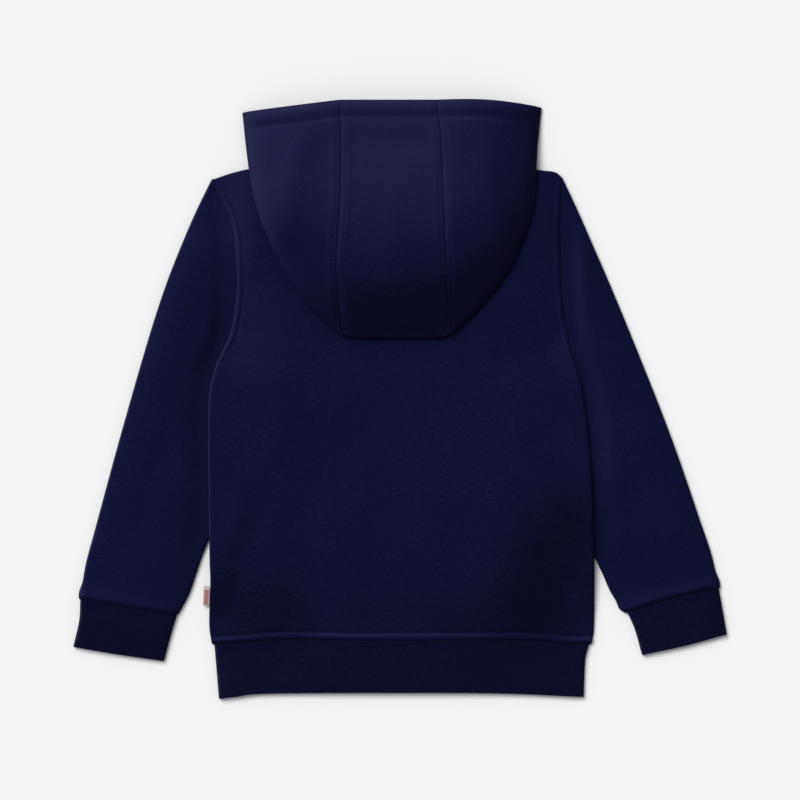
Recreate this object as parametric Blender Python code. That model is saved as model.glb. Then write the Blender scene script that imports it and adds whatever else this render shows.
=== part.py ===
"""A child's hooded zip-through fleece cardigan, laid face down with its hood over its back.

+Y runs from the hem to the hood and +Z up from the surface. Lengths are in millimetres until a
mesh is made. Each cloth piece is a grid mapped to the middle of its wall, and Solidify gives the
wall its thickness.
"""

import math

import bmesh
import bpy
import numpy as np
from mathutils import Matrix

MM = 0.001

# Driving sizes
CLOTH = 2.0  # fleece wall
RIB = 2.4  # doubled rib wall
AIR = 0.7  # between two layers that lie on each other
SEAM = 0.35  # between two pieces that are sewn together
FLOOR = CLOTH / 2  # middle of a layer that lies on the surface
LAYER = CLOTH + AIR  # from the middle of one layer to the middle of the next
SLEEVE_PILE = 2 * LAYER  # what a flattened sleeve lifts the body by
SIDE_ROLL = 3.8  # how far the fronts stop short of the rolled side edges
ROLL_WIDTH, ROLL_IN, ROLL_DROP = 3.0, 0.8, 1.6  # how the back's side edges roll down
NECK_TRIM = 2.5  # what is trimmed off the corner where a shoulder meets the neck
LABEL_OUT, LABEL_SEAM, LABEL_THICK = 8.5, 0.35, 1.0  # out from the side seam, and its gap there
LABEL_LOW_Y, LABEL_HIGH_Y = -189.0, -171.0
TIP_OUT = 1.2  # how far past the shoulder's tip a sleeve's fold starts
HALF_COLUMNS = 11  # from a side edge to the zip
SHOULDER_COLUMNS = 6  # how many of them end at the shoulder
SIDE_ROWS, ARM_ROWS = 11, 9  # below and along the armhole, which gives the sleeves their columns
SLEEVE_ROWS = 12
CUFF_COLUMNS, CUFF_ROWS = 7, 2
BAND_ROWS = 2
FLANK_ROWS, FALL_ROWS = 5, 10  # hood rows beyond the shoulder line, and over the back
UNDER_COLUMNS, UPPER_COLUMNS = 5, 5  # hood columns below and above its side folds
STRIP_COLUMNS, STRIP_ROWS, CROWN_ROWS, STRIP_UNDER_ROWS = 6, 12, 4, 7

# The zip, closed, on the centre front line from the hem to the throat
HEM_CENTRE = (2.0, -269.5)
THROAT = (-6.5, 160.0)
ZIP_ROWS = 18
ZIP_GAP = 4.8  # from the centre front to the edge of each front
TAPE_WIDTH, TAPE_THICK, TAPE_BOTTOM = 13.0, 1.0, 2.7
CHAIN_HALF, CHAIN_THICK, CHAIN_BOTTOM = 2.6, 2.0, 0.4
ZIP_RISE = 1.4  # what the tapes lift the back by
SLIDER_Y = 150.0  # the pull tab's hinge
SLIDER_LENGTH, SLIDER_WALL = 11.0, 1.0
SLIDER_LIFT, SLIDER_REACH, SLIDER_FADE = 3.8, 26.0, 80.0  # how the fronts rise over the slider
PIN_RADIUS, PIN_HEIGHT = 0.5, 1.5
LUG_INNER, LUG_OUTER, LUG_DEPTH, LUG_DROP = 1.9, 2.9, 2.6, 0.9
KNUCKLE_RADIUS, KNUCKLE_BORE, KNUCKLE_HALF = 1.2, 0.7, 1.6
TAB_LENGTH, TAB_HALF, TAB_THICK, TAB_NECK = 22.0, 3.0, 1.0, 2.3

# Outlines, each a smooth curve through (x, y). Left is the wearer's left, at -X.
HEM = ((-173.5, -222.5), (-138.0, -222.5), (-106.0, -219.0), (0.0, -218.5), (125.0, -220.5), (176.5, -223.0))
BAND_END = ((-166.5, -275.0), (-151.0, -273.0), (-110.0, -269.8), (73.5, -269.5), (168.9, -273.0))
SIDES = {
    "left": {
        "sign": -1,
        "side": ((-173.5, -222.5), (-175.5, -205.0), (-175.0, -138.0), (-176.0, -9.0), (-171.0, 26.0), (-164.0, 43.0)),
        "armhole": ((-164.0, 43.0), (-155.5, 63.5), (-150.0, 103.0), (-152.5, 152.0), (-160.0, 177.5), (-173.0, 202.5)),
        "shoulder": ((-173.0, 202.5), (-143.5, 211.5), (-79.0, 223.5)),
        "back_neck": ((-79.0, 223.5), (-64.5, 215.5), (-38.0, 210.0), (-12.0, 209.5)),
        "front_neck": ((-79.0, 223.5), (-71.0, 204.0), (-57.0, 187.0), (-38.0, 173.0), (-12.0, 164.0)),
        "outer": ((-173.0, 202.5), (-191.5, 164.5), (-220.0, 92.0), (-253.0, -18.5), (-285.0, -136.0),
                  (-295.5, -177.5), (-294.0, -183.0)),
        "inner": ((-164.0, 43.0), (-165.5, 22.0), (-156.0, -2.0), (-145.0, -28.0), (-145.0, -54.0), (-162.0, -102.0),
                  (-176.5, -129.5), (-196.0, -184.0), (-205.0, -197.5)),
        "cuff_seam": ((-294.0, -183.0), (-250.0, -190.5), (-205.0, -197.5)),
        "cuff_end": ((-300.5, -227.0), (-262.0, -233.5), (-217.0, -240.0)),
        "cuff_outer": ((-294.0, -183.0), (-295.0, -202.5), (-300.5, -227.0)),
        "cuff_inner": ((-205.0, -197.5), (-210.5, -215.5), (-217.0, -240.0)),
        "band_side": ((-170.7, -223.0), (-166.5, -275.0)),
        "hidden_edge": ((-190.0, -150.0), (-162.0, -102.0), (-132.5, -38.5), (-126.0, -14.5), (-126.0, 70.0)),
        "hood_fold": ((-145.0, 264.0), (-140.5, 223.5), (-135.0, 189.5), (-124.0, 155.5), (-103.0, 115.0),
                      (-88.5, 93.0), (-70.0, 73.5), (-61.5, 66.0)),
        "hood_seam": ((-55.0, 275.0), (-54.0, 240.0), (-54.5, 182.0), (-58.0, 122.0), (-52.5, 66.0)),
        "hood_bow": ((-28.0, 250.0), (-70.0, 240.0)),
        "hood_under_seam": ((-38.0, 210.0), (-42.5, 138.0), (-52.0, 85.0), (-61.5, 66.0)),
    },
    "right": {
        "sign": 1,
        "side": ((176.5, -223.0), (178.5, -205.0), (178.5, -141.0), (175.5, -57.0), (167.5, 10.0), (157.5, 45.0)),
        "armhole": ((157.5, 45.0), (151.0, 78.0), (148.0, 110.5), (147.0, 165.0), (150.0, 193.0), (152.5, 199.5)),
        "shoulder": ((152.5, 199.5), (125.0, 211.5), (62.5, 222.5)),
        "back_neck": ((62.5, 222.5), (48.0, 215.5), (21.5, 210.0), (-3.0, 209.5)),
        "front_neck": ((62.5, 222.5), (55.0, 204.0), (41.0, 187.0), (23.0, 173.0), (-1.0, 164.0)),
        "outer": ((152.5, 199.5), (173.0, 151.0), (207.0, 72.0), (249.5, -35.0), (286.0, -141.0),
                  (295.0, -168.5), (293.0, -173.0)),
        "inner": ((157.5, 45.0), (155.5, 22.0), (145.0, -2.0), (134.0, -26.0), (135.0, -52.0), (157.5, -99.5),
                  (178.5, -143.5), (200.5, -189.5), (209.0, -195.0)),
        "cuff_seam": ((293.0, -173.0), (250.0, -182.0), (209.0, -195.0)),
        "cuff_end": ((300.5, -215.5), (262.0, -226.0), (222.5, -234.5)),
        "cuff_outer": ((293.0, -173.0), (296.5, -192.5), (300.5, -215.5)),
        "cuff_inner": ((209.0, -195.0), (216.0, -211.5), (222.5, -234.5)),
        "band_side": ((173.9, -223.0), (170.2, -240.0), (168.9, -273.0)),
        "hidden_edge": ((190.0, -165.0), (157.5, -99.5), (123.5, -38.5), (118.0, -14.5), (118.0, 70.0)),
        "hood_fold": ((129.7, 265.0), (125.7, 212.5), (122.4, 177.6), (109.1, 138.0), (95.7, 113.2),
                      (81.0, 94.8), (64.4, 76.4), (53.0, 66.0)),
        "hood_seam": ((34.0, 275.0), (38.0, 240.0), (40.6, 182.0), (43.2, 119.6), (42.4, 66.0)),
        "hood_bow": ((12.0, 250.0), (54.0, 240.0)),
        "hood_under_seam": ((21.5, 210.0), (31.0, 138.0), (43.0, 85.0), (53.0, 66.0)),
    },
}

# How high the hood's upper layer stands along its middle: (y, height)
HOOD_RISE = ((60.0, 15.0), (75.0, 20.5), (98.0, 25.5), (122.0, 26.5), (165.0, 25.0),
             (210.0, 22.5), (250.0, 20.0), (280.0, 18.5))
CROWN_REACH = 10.0  # how far the crown fold reaches past the ends of the hood's seams
CROWN_TUCK = 4.0  # how much its sides draw in there
CROWN_GAP = 6.0  # how far the middle strip's under layer keeps from the side panels' folds
HOOD_ROUND = 60.0  # how far in from its side folds the hood reaches that height
STEP_OUT, STEP_FOOT = 1.6, 5.0  # the hood's drop off the shoulder line, top and foot

NAVY = (0.010, 0.011, 0.055)
RIB_NAVY = (0.008, 0.009, 0.044)
TAPE_NAVY = (0.012, 0.013, 0.050)
METAL = (0.30, 0.30, 0.32)
LABEL_WHITE = (0.60, 0.55, 0.55)


# Curves and grids
def curve(points, count):
    """count + 1 points, evenly spaced along a smooth curve through these."""
    points = np.array(points, float)
    ends = np.vstack([2 * points[0] - points[1], points, 2 * points[-1] - points[-2]])
    fine = []
    for k in range(1, len(ends) - 2):
        before, start, stop, after = ends[k - 1 : k + 3]
        for t in np.linspace(0, 1, 16, endpoint=False):
            bend = 2 * before - 5 * start + 4 * stop - after
            twist = -before + 3 * start - 3 * stop + after
            fine.append(0.5 * (2 * start + (stop - before) * t + bend * t**2 + twist * t**3))
    fine.append(points[-1])
    return spaced(fine, count)


def spaced(points, count, crowding=1.0):
    """count + 1 points along this polyline, evenly spaced or crowded toward its start."""
    points = np.array(points, float)
    run = np.concatenate([[0], np.cumsum(np.linalg.norm(np.diff(points, axis=0), axis=1))])
    places = run[-1] * np.linspace(0, 1, count + 1) ** crowding
    return np.stack([np.interp(places, run, points[:, k]) for k in range(points.shape[1])], axis=1)


def joined(*pieces):
    """Curves end to end, without the points that they share."""
    return np.vstack([pieces[0]] + [piece[1:] for piece in pieces[1:]])


def patch(start, end, left, right):
    """A grid of plan points: start and end are its first and last rows, left and right its sides."""
    across = np.linspace(0, 1, len(start))[None, :, None]
    along = np.linspace(0, 1, len(left))[:, None, None]
    ruled = (1 - along) * start[None] + along * end[None]
    to_left = left[:, None] - ruled[:, :1]
    to_right = right[:, None] - ruled[:, -1:]
    return ruled + (1 - across) * to_left + across * to_right


def relaxed(plan, rounds=300):
    """The grid with its inner points evened out, so that no row folds over the next at a corner."""
    for _ in range(rounds):
        down = (plan[2:, 1:-1] - plan[:-2, 1:-1]) / 2
        over = (plan[1:-1, 2:] - plan[1:-1, :-2]) / 2
        along, across = (np.sum(step**2, axis=2, keepdims=True) for step in (down, over))
        skew = np.sum(down * over, axis=2, keepdims=True) / 2
        corners = plan[2:, 2:] - plan[2:, :-2] - plan[:-2, 2:] + plan[:-2, :-2]
        total = across * (plan[2:, 1:-1] + plan[:-2, 1:-1]) + along * (plan[1:-1, 2:] + plan[1:-1, :-2])
        plan[1:-1, 1:-1] = (total - skew * corners) / (2 * (along + across))
    return plan


def moved(points, distance):
    """A plan curve moved sideways, to the left of its own direction."""
    along = np.gradient(points, axis=0)
    along /= np.linalg.norm(along, axis=1, keepdims=True)
    return points + distance * np.stack([-along[:, 1], along[:, 0]], axis=1)


def ramp(value, start, stop):
    """0 at start and 1 at stop, smoothly, either way round."""
    t = np.clip((value - start) / (stop - start), 0, 1)
    return t * t * (3 - 2 * t)


# Heights
def centre_front(y):
    share = (y - HEM_CENTRE[1]) / (THROAT[1] - HEM_CENTRE[1])
    return HEM_CENTRE[0] + share * (THROAT[0] - HEM_CENTRE[0])


def over_sleeves(x, y):
    """How far the body is lifted, where a sleeve's inner edge lies under it."""
    lift = 0.0
    for cut in SIDES.values():
        edge = np.array(cut["hidden_edge"])
        inner = np.interp(y, edge[:, 1], edge[:, 0])
        inside = cut["sign"] * (x - inner)
        band = ramp(y, -212, -150) * ramp(y, 150, 90)
        lift = np.maximum(lift, ramp(inside, -66, -14) * band)
    return SLEEVE_PILE * lift


def over_slider(x, y):
    distance = np.hypot(x - centre_front(SLIDER_Y), y - (SLIDER_Y - TAB_LENGTH / 3))
    return SLIDER_LIFT * ramp(distance, SLIDER_REACH + SLIDER_FADE, SLIDER_REACH)


def front_height(x, y):
    return FLOOR + over_sleeves(x, y) + over_slider(x, y)


def over_zip(x, y):
    return ZIP_RISE * ramp(np.abs(x - centre_front(y)), 30, 18)


def back_height(x, y):
    return front_height(x, y) + LAYER + over_zip(x, y)


# Making nodes
def fabric(name, colour, roughness, metallic=0.0):
    material = bpy.data.materials.new(name)
    material.use_nodes = True
    shader = material.node_tree.nodes["Principled BSDF"]
    shader.inputs["Base Color"].default_value = (*colour, 1)
    shader.inputs["Roughness"].default_value = roughness
    shader.inputs["Metallic"].default_value = metallic
    return material


def link(mesh, name, material):
    obj = bpy.data.objects.new(name, mesh)
    obj.data.materials.append(material)
    bpy.context.collection.objects.link(obj)
    return obj


def cloth(name, grid, thickness, material):
    """A wall whose middle is this grid of points, (rows, columns, 3), closed where its sides meet."""
    rows, columns = grid.shape[:2]
    bm = bmesh.new()
    bmesh.ops.create_grid(bm, x_segments=columns - 1, y_segments=rows - 1, size=1)
    for vert, place in zip(bm.verts, grid.reshape(-1, 3)):
        vert.co = place * MM
    bmesh.ops.remove_doubles(bm, verts=bm.verts, dist=1e-6)
    mesh = bpy.data.meshes.new(name)
    bm.to_mesh(mesh)
    bm.free()
    mesh.shade_smooth()
    obj = link(mesh, name, material)
    wall = obj.modifiers.new("wall", "SOLIDIFY")
    wall.thickness = thickness * MM
    wall.offset = 0
    return obj


def raised(plan, height):
    """Plan points with a height over each."""
    return np.dstack([plan, height(plan[..., 0], plan[..., 1])])


def level(height):
    return lambda x, y: np.full_like(x, height)


# Body
def halved(points):
    """A curve from side to side, sampled as each half of the body is, with the zip's gap between."""
    fine = curve(points, 200)
    middle = centre_front(fine[100, 1])
    height = np.interp(middle, fine[:, 0], fine[:, 1])
    left = np.vstack([fine[fine[:, 0] < middle - ZIP_GAP - 0.5], [middle - ZIP_GAP, height]])
    right = np.vstack([[middle + ZIP_GAP, height], fine[fine[:, 0] > middle + ZIP_GAP + 0.5]])
    return np.vstack([spaced(left, HALF_COLUMNS), spaced(right, HALF_COLUMNS)])


def half_body(side, neck):
    """The plan of half of the back or front, from its side edge to the zip, hem to shoulder."""
    cut = SIDES[side]
    hem = halved(HEM) + (0, SEAM / 2)
    bottom = hem[: HALF_COLUMNS + 1] if side == "left" else hem[: HALF_COLUMNS : -1]
    outer = joined(curve(cut["side"], SIDE_ROWS), curve(cut["armhole"], ARM_ROWS))
    outer[0] = bottom[0]
    top = joined(curve(cut["shoulder"], SHOULDER_COLUMNS), curve(cut[neck], HALF_COLUMNS - SHOULDER_COLUMNS))
    top[-1, 0] = centre_front(top[-1, 1]) + cut["sign"] * ZIP_GAP
    inner = np.linspace(bottom[-1], top[-1], SIDE_ROWS + ARM_ROWS + 1)
    plan = patch(bottom, top, outer, inner)
    plan[-1, SHOULDER_COLUMNS] += (cut["sign"] * NECK_TRIM, -NECK_TRIM / 2)
    return plan


def make_back(material):
    """Its side edges roll down over the fronts' edges."""
    halves = [half_body(side, "back_neck") for side in SIDES]
    plan = np.concatenate([halves[0], halves[1][:, ::-1]], axis=1)
    bend = plan[:, [0, -1]] + np.array(((ROLL_WIDTH, 0), (-ROLL_WIDTH, 0)))
    plan = np.concatenate([plan[:, :1], bend[:, :1], plan[:, 1:-1], bend[:, 1:], plan[:, -1:]], axis=1)
    grid = raised(plan, back_height)
    rolled = ramp(plan[:, 0, 1], 60, 20)
    grid[:, 0] += np.outer(rolled, (ROLL_IN, 0, -ROLL_DROP))
    grid[:, -1] += np.outer(rolled, (-ROLL_IN, 0, -ROLL_DROP))
    cloth("back", grid, CLOTH, material)


def make_front(side, material):
    plan = half_body(side, "front_neck")
    plan[:, 0, 0] -= SIDES[side]["sign"] * SIDE_ROLL * ramp(plan[:, 0, 1], 60, 20)
    cloth(f"front_{side}", raised(plan, front_height), CLOTH, material)


# Tubes that lie flat
def flattened(plan, thickness, air):
    """The middle of a flattened tube's wall, over this plan: its under layer, then its upper one."""
    low, high = thickness / 2, 1.5 * thickness + air
    middle = (low + high) / 2
    turn = (high - low) / 2
    inset = plan.copy()
    for edge, step in ((0, 1), (-1, -1)):
        toward = inset[:, edge + step] - inset[:, edge]
        toward /= np.linalg.norm(toward, axis=1, keepdims=True)
        inset[:, edge] += (thickness / 2) * toward
    near = inset[:, 0] + turn * unit(inset[:, 1] - inset[:, 0])
    far = inset[:, -1] + turn * unit(inset[:, -2] - inset[:, -1])
    inside = inset[:, 1:-1]
    order = [
        (inset[:, :1], middle), (near[:, None], low), (inside, low), (far[:, None], low),
        (inset[:, -1:], middle), (far[:, None], high), (inside[:, ::-1], high), (near[:, None], high),
        (inset[:, :1], middle),
    ]
    return np.concatenate([np.dstack([part, np.full(part.shape[:2], z)]) for part, z in order], axis=1)


def unit(vectors):
    return vectors / np.linalg.norm(vectors, axis=-1, keepdims=True)


def make_sleeve(side, material):
    cut = SIDES[side]
    armhole = moved(curve(cut["armhole"], ARM_ROWS), -cut["sign"] * SEAM)[::-1]
    armhole[0, 0] += cut["sign"] * TIP_OUT
    outer = curve(cut["outer"], SLEEVE_ROWS)
    inner = curve(cut["inner"], SLEEVE_ROWS)
    seam = curve(cut["cuff_seam"], ARM_ROWS) + (0, SEAM / 2)
    outer[0], inner[0] = armhole[0], armhole[-1]
    outer[-1], inner[-1] = seam[0], seam[-1]
    plan = relaxed(patch(armhole, seam, outer, inner))
    cloth(f"sleeve_{side}", flattened(plan, CLOTH, AIR), CLOTH, material)


def make_cuff(side, material):
    cut = SIDES[side]
    seam = curve(cut["cuff_seam"], CUFF_COLUMNS) - (0, SEAM / 2)
    end = curve(cut["cuff_end"], CUFF_COLUMNS)
    outer = curve(cut["cuff_outer"], CUFF_ROWS)
    inner = curve(cut["cuff_inner"], CUFF_ROWS)
    outer[0], inner[0] = seam[0], seam[-1]
    plan = patch(seam, end, outer, inner)
    cloth(f"cuff_{side}", flattened(plan, RIB, AIR), RIB, material)


def make_band(material):
    """The hem's rib: from the zip round one side, across the back and round to the zip again."""
    top = halved(HEM) - (0, SEAM / 2)
    bottom = halved(BAND_END)
    left = curve(SIDES["left"]["band_side"], BAND_ROWS)
    right = curve(SIDES["right"]["band_side"], BAND_ROWS)
    top[0, 0], top[-1, 0] = left[0, 0], right[0, 0]
    left[0], right[0] = top[0], top[-1]
    loop = flattened(patch(top, bottom, left, right), RIB, AIR)
    at_zip = HALF_COLUMNS + 1
    round_side = len(top) + 1
    over = loop[:, round_side:]
    over[..., 2] += over_zip(over[..., 0], over[..., 1])
    grid = np.concatenate([loop[:, at_zip + 1 : round_side], over, loop[:, 1 : at_zip + 1]], axis=1)
    cloth("hem_band", grid, RIB, material)


# Hood
def hood_height(x, y, low, from_fold):
    """The upper layer's height: it rounds up from the side fold to its rise along the middle."""
    table = np.array(HOOD_RISE)
    rise = np.interp(y, table[:, 0], table[:, 1])
    stacked = low + LAYER
    share = 1 - (1 - np.clip(from_fold / HOOD_ROUND, 0, 1)) ** 2
    return stacked + np.maximum(rise - stacked, 0) * share


def make_hood_side(side, material):
    """Rows run from the neck seam, under, round the side fold and over to the seam on top."""
    cut = SIDES[side]
    sign = cut["sign"]
    neck_front = moved(curve(cut["front_neck"], FLANK_ROWS), -sign * SEAM)[::-1]
    under_seam = curve(cut["hood_under_seam"], UNDER_COLUMNS)
    back_neck = curve(cut["back_neck"], 40)
    back_neck = back_neck[sign * (back_neck[:, 0] - under_seam[0, 0]) > 0]
    neck_back = spaced(np.vstack([back_neck, under_seam[:1]]), FALL_ROWS)
    shoulder = curve(cut["shoulder"], 40)[::-1]
    fold = curve(cut["hood_fold"], 120)
    line_y = np.interp(sign * fold[:, 0], sign * shoulder[:, 0], shoulder[:, 1])
    beyond = fold[:, 1] > line_y + STEP_FOOT
    fold_flank = spaced(fold[beyond], FLANK_ROWS)
    over_back = fold[fold[:, 1] < line_y - 4]
    fold_fall = spaced(over_back, FALL_ROWS)
    foot_line = spaced(shoulder[sign * (shoulder[:, 0] - fold_flank[-1, 0]) < 0], UNDER_COLUMNS, 2.8)
    inner_line = foot_line - (0, 4)
    inner_line[0], inner_line[-1] = neck_back[0], fold_fall[0]
    foot = foot_line + (0, STEP_FOOT)
    foot[0] = shoulder[0] + (-0.5 * sign, 1.3)
    fold_flank[-1] = foot[-1]
    bows = np.linspace(*cut["hood_bow"], FLANK_ROWS)[:, None]
    t = np.linspace(0, 1, UNDER_COLUMNS + 1)[None, :, None]
    near, far = neck_front[:-1, None], fold_flank[:-1, None]
    flank = relaxed(np.concatenate([(1 - t) ** 2 * near + 2 * t * (1 - t) * bows + t**2 * far, foot[None]]))
    under_seam[0], under_seam[-1] = neck_back[-1], fold_fall[-1]
    fall = patch(inner_line, under_seam, neck_back, fold_fall)
    step = (foot_line + (0, STEP_OUT))[None]
    low_flank = raised(flank, front_height)
    low_step = raised(step, level(FLOOR + 2 * LAYER + 0.2))
    low_fall = raised(fall, lambda x, y: back_height(x, y) + LAYER + 0.2)
    under = np.concatenate([low_flank, low_step, low_fall])
    fold_low = under[:, -1, 2]
    seam_all = curve(cut["hood_seam"], len(under) - 1) + (sign * SEAM / 2, 0)
    fold_all = under[:, -1, :2]
    shares = np.linspace(0, 1, UPPER_COLUMNS + 1)[None, 1:, None]
    upper = fold_all[:, None] * (1 - shares) + seam_all[:, None] * shares
    from_fold = np.linalg.norm(upper - fold_all[:, None], axis=2)
    heights = hood_height(upper[..., 0], upper[..., 1], fold_low[:, None], from_fold)
    upper = np.dstack([upper, heights])
    inward = unit(seam_all - fold_all)
    turn = LAYER / 2
    extreme = np.column_stack([fold_all + inward * CLOTH / 2, fold_low + turn])
    low_turn = np.column_stack([fold_all + inward * (CLOTH / 2 + turn), fold_low])
    high_turn = low_turn + (0, 0, LAYER)
    grid = np.concatenate(
        [under[:, :-1], low_turn[:, None], extreme[:, None], high_turn[:, None], upper], axis=1
    )
    cloth(f"hood_{side}", grid, CLOTH, material)


def make_hood_centre(material):
    """From the forehead's edge over the crown fold, then back under it to the nape."""
    seams = [curve(SIDES[side]["hood_seam"], STRIP_ROWS) for side in SIDES]
    unders = [curve(SIDES[side]["hood_under_seam"], STRIP_UNDER_ROWS)[::-1] for side in SIDES]
    for sign, seam, under in zip((1, -1), seams, unders):
        seam[:, 0] += sign * SEAM
        under[:, 0] += sign * (SEAM + CROWN_GAP * ramp(under[:, 1], 96, 70))
    shares = np.linspace(0, 1, STRIP_COLUMNS + 1)[None, :, None]
    top = seams[0][:, None] * (1 - shares) + seams[1][:, None] * shares
    under = unders[0][:, None] * (1 - shares) + unders[1][:, None] * shares
    top = raised(top, lambda x, y: hood_height(x, y, 6.0, HOOD_ROUND))
    under = raised(under, lambda x, y: back_height(x, y) + LAYER + 0.2)
    turns = np.linspace(0, math.pi, CROWN_ROWS + 1)[1:-1, None, None]
    share = (1 - np.cos(turns)) / 2
    crown = top[-1:] * (1 - share) + under[:1] * share - np.array((0, CROWN_REACH, 0)) * np.sin(turns)
    crown[..., 0] -= CROWN_TUCK * np.sin(turns[..., 0]) * np.linspace(-1, 1, STRIP_COLUMNS + 1)
    cloth("hood_centre", np.concatenate([top, crown, under]), CLOTH, material)


# Zip and label
def strip(name, low_side, high_side, bottom, thickness, material):
    """A flat strip along the centre front between two distances from it."""
    ys = np.linspace(HEM_CENTRE[1], THROAT[1], ZIP_ROWS + 1)
    xs = centre_front(ys)
    heights = bottom + thickness / 2 + over_slider(xs, ys)
    rows = [np.column_stack([xs + side, ys, heights]) for side in (low_side, high_side)]
    cloth(name, np.stack(rows, axis=1), thickness, material)


def box(bm, low, high):
    """A box between two corners, in millimetres."""
    for vert in bmesh.ops.create_cube(bm, size=1)["verts"]:
        for k in range(3):
            vert.co[k] = (low[k] if vert.co[k] < 0 else high[k]) * MM


def rod(bm, radius, length, sides=16):
    """A rod along X, centred on the origin."""
    bmesh.ops.create_cone(
        bm, cap_ends=True, segments=sides, radius1=radius * MM, radius2=radius * MM, depth=length * MM,
        matrix=Matrix.Rotation(math.pi / 2, 4, "Y"),
    )


def plain(name, build, material=None):
    bm = bmesh.new()
    build(bm)
    mesh = bpy.data.meshes.new(name)
    bm.to_mesh(mesh)
    bm.free()
    return link(mesh, name, material) if material else mesh


def helper(name, build):
    """A hidden shape that a Boolean reads."""
    obj = bpy.data.objects.new(name, plain(name, build))
    bpy.context.collection.objects.link(obj)
    obj.hide_render = True
    obj.display_type = "WIRE"
    return obj


def combine(obj, other, operation):
    boolean = obj.modifiers.new(operation.lower(), "BOOLEAN")
    boolean.operation = operation
    boolean.object = other


def at_hinge(obj):
    obj.location = (centre_front(SLIDER_Y) * MM, SLIDER_Y * MM, PIN_HEIGHT * MM)
    return obj


def make_slider(material):
    chain_under = FLOOR - CLOTH / 2 + SLIDER_LIFT + CHAIN_BOTTOM - 0.3 - PIN_HEIGHT
    wall_in = CHAIN_HALF + 0.4
    wall_top = chain_under + 0.3 + CHAIN_THICK
    half = SLIDER_LENGTH / 2
    plate_under = chain_under - SLIDER_WALL

    def plate(bm):
        box(bm, (-wall_in - SLIDER_WALL, -half, plate_under), (wall_in + SLIDER_WALL, half, chain_under))

    def wall(sign):
        ends = sorted((sign * wall_in, sign * (wall_in + SLIDER_WALL)))
        return lambda bm: box(bm, (ends[0], -half, plate_under + 0.2), (ends[1], half, wall_top))

    def lug(sign):
        ends = sorted((sign * LUG_INNER, sign * LUG_OUTER))
        reach = LUG_DEPTH / 2
        return lambda bm: box(bm, (ends[0], -reach, -LUG_DROP), (ends[1], reach, plate_under + 0.3))

    slider = at_hinge(plain("zip_slider", plate, material))
    shapes = [(f"slider wall {sign}", wall(sign)) for sign in (-1, 1)]
    shapes += [(f"slider lug {sign}", lug(sign)) for sign in (-1, 1)]
    shapes.append(("slider pin", lambda bm: rod(bm, PIN_RADIUS, 2 * LUG_OUTER - 0.4)))
    for name, build in shapes:
        combine(slider, at_hinge(helper(name, build)), "UNION")


def make_tab(material):
    """The pull tab, hinged on the slider's pin and lying toward the hem."""
    half = TAB_THICK / 2
    blade = plain(
        "zip_pull_tab",
        lambda bm: box(bm, (-TAB_HALF, -TAB_LENGTH, -half), (TAB_HALF, -TAB_NECK, half)),
        material,
    )
    at_hinge(blade)
    neck = helper(
        "tab neck", lambda bm: box(bm, (-KNUCKLE_HALF, -TAB_NECK - 1, -half), (KNUCKLE_HALF, -0.85, half))
    )
    knuckle = helper("tab knuckle", lambda bm: rod(bm, KNUCKLE_RADIUS, 2 * KNUCKLE_HALF, 24))
    bore = helper("tab bore", lambda bm: rod(bm, KNUCKLE_BORE, 4 * KNUCKLE_HALF, 24))
    combine(blade, at_hinge(neck), "UNION")
    combine(blade, at_hinge(knuckle), "UNION")
    combine(blade, at_hinge(bore), "DIFFERENCE")


def make_label(material):
    """A small folded label that stands out of the side seam."""
    edge = curve(SIDES["left"]["side"], 60)
    rows = []
    for y in np.linspace(LABEL_LOW_Y, LABEL_HIGH_Y, 4):
        rim = np.interp(y, edge[:, 1], edge[:, 0])
        height = back_height(rim, y) - ROLL_DROP
        rows.append([(rim - LABEL_OUT, y, height), (rim - LABEL_SEAM, y, height)])
    cloth("side_label", np.array(rows), LABEL_THICK, material)


def main():
    for old in list(bpy.data.objects):
        bpy.data.objects.remove(old)
    fleece = fabric("fleece", NAVY, 0.95)
    rib = fabric("rib", RIB_NAVY, 0.95)
    tape = fabric("zip tape", TAPE_NAVY, 0.9)
    metal = fabric("zip metal", METAL, 0.35, 1.0)
    make_back(fleece)
    make_band(rib)
    make_hood_centre(fleece)
    make_label(fabric("label", LABEL_WHITE, 0.8))
    for side in SIDES:
        sign = SIDES[side]["sign"]
        make_front(side, fleece)
        make_sleeve(side, fleece)
        make_cuff(side, rib)
        make_hood_side(side, fleece)
        sides = sorted((sign * 0.3, sign * (0.3 + TAPE_WIDTH)))
        strip(f"zip_tape_{side}", *sides, TAPE_BOTTOM, TAPE_THICK, tape)
    strip("zip_teeth", -CHAIN_HALF, CHAIN_HALF, CHAIN_BOTTOM, CHAIN_THICK, metal)
    make_slider(metal)
    make_tab(metal)


main()
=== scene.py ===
# %% [markdown]
# # A hooded fleece cardigan, laid face down
# The real thing is cut from brushed-back jersey, sewn, and closed with a zip down its front. Here
# it lies on its front, so the back, the sleeves and the hood show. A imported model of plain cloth
# walls comes in first. It fixes every size, and each dressed piece made below takes the place of
# one of its walls.
# %% Load the plain model
import math

import bmesh
import bpy
import numpy as np
from mathutils import Matrix, Vector


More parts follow.
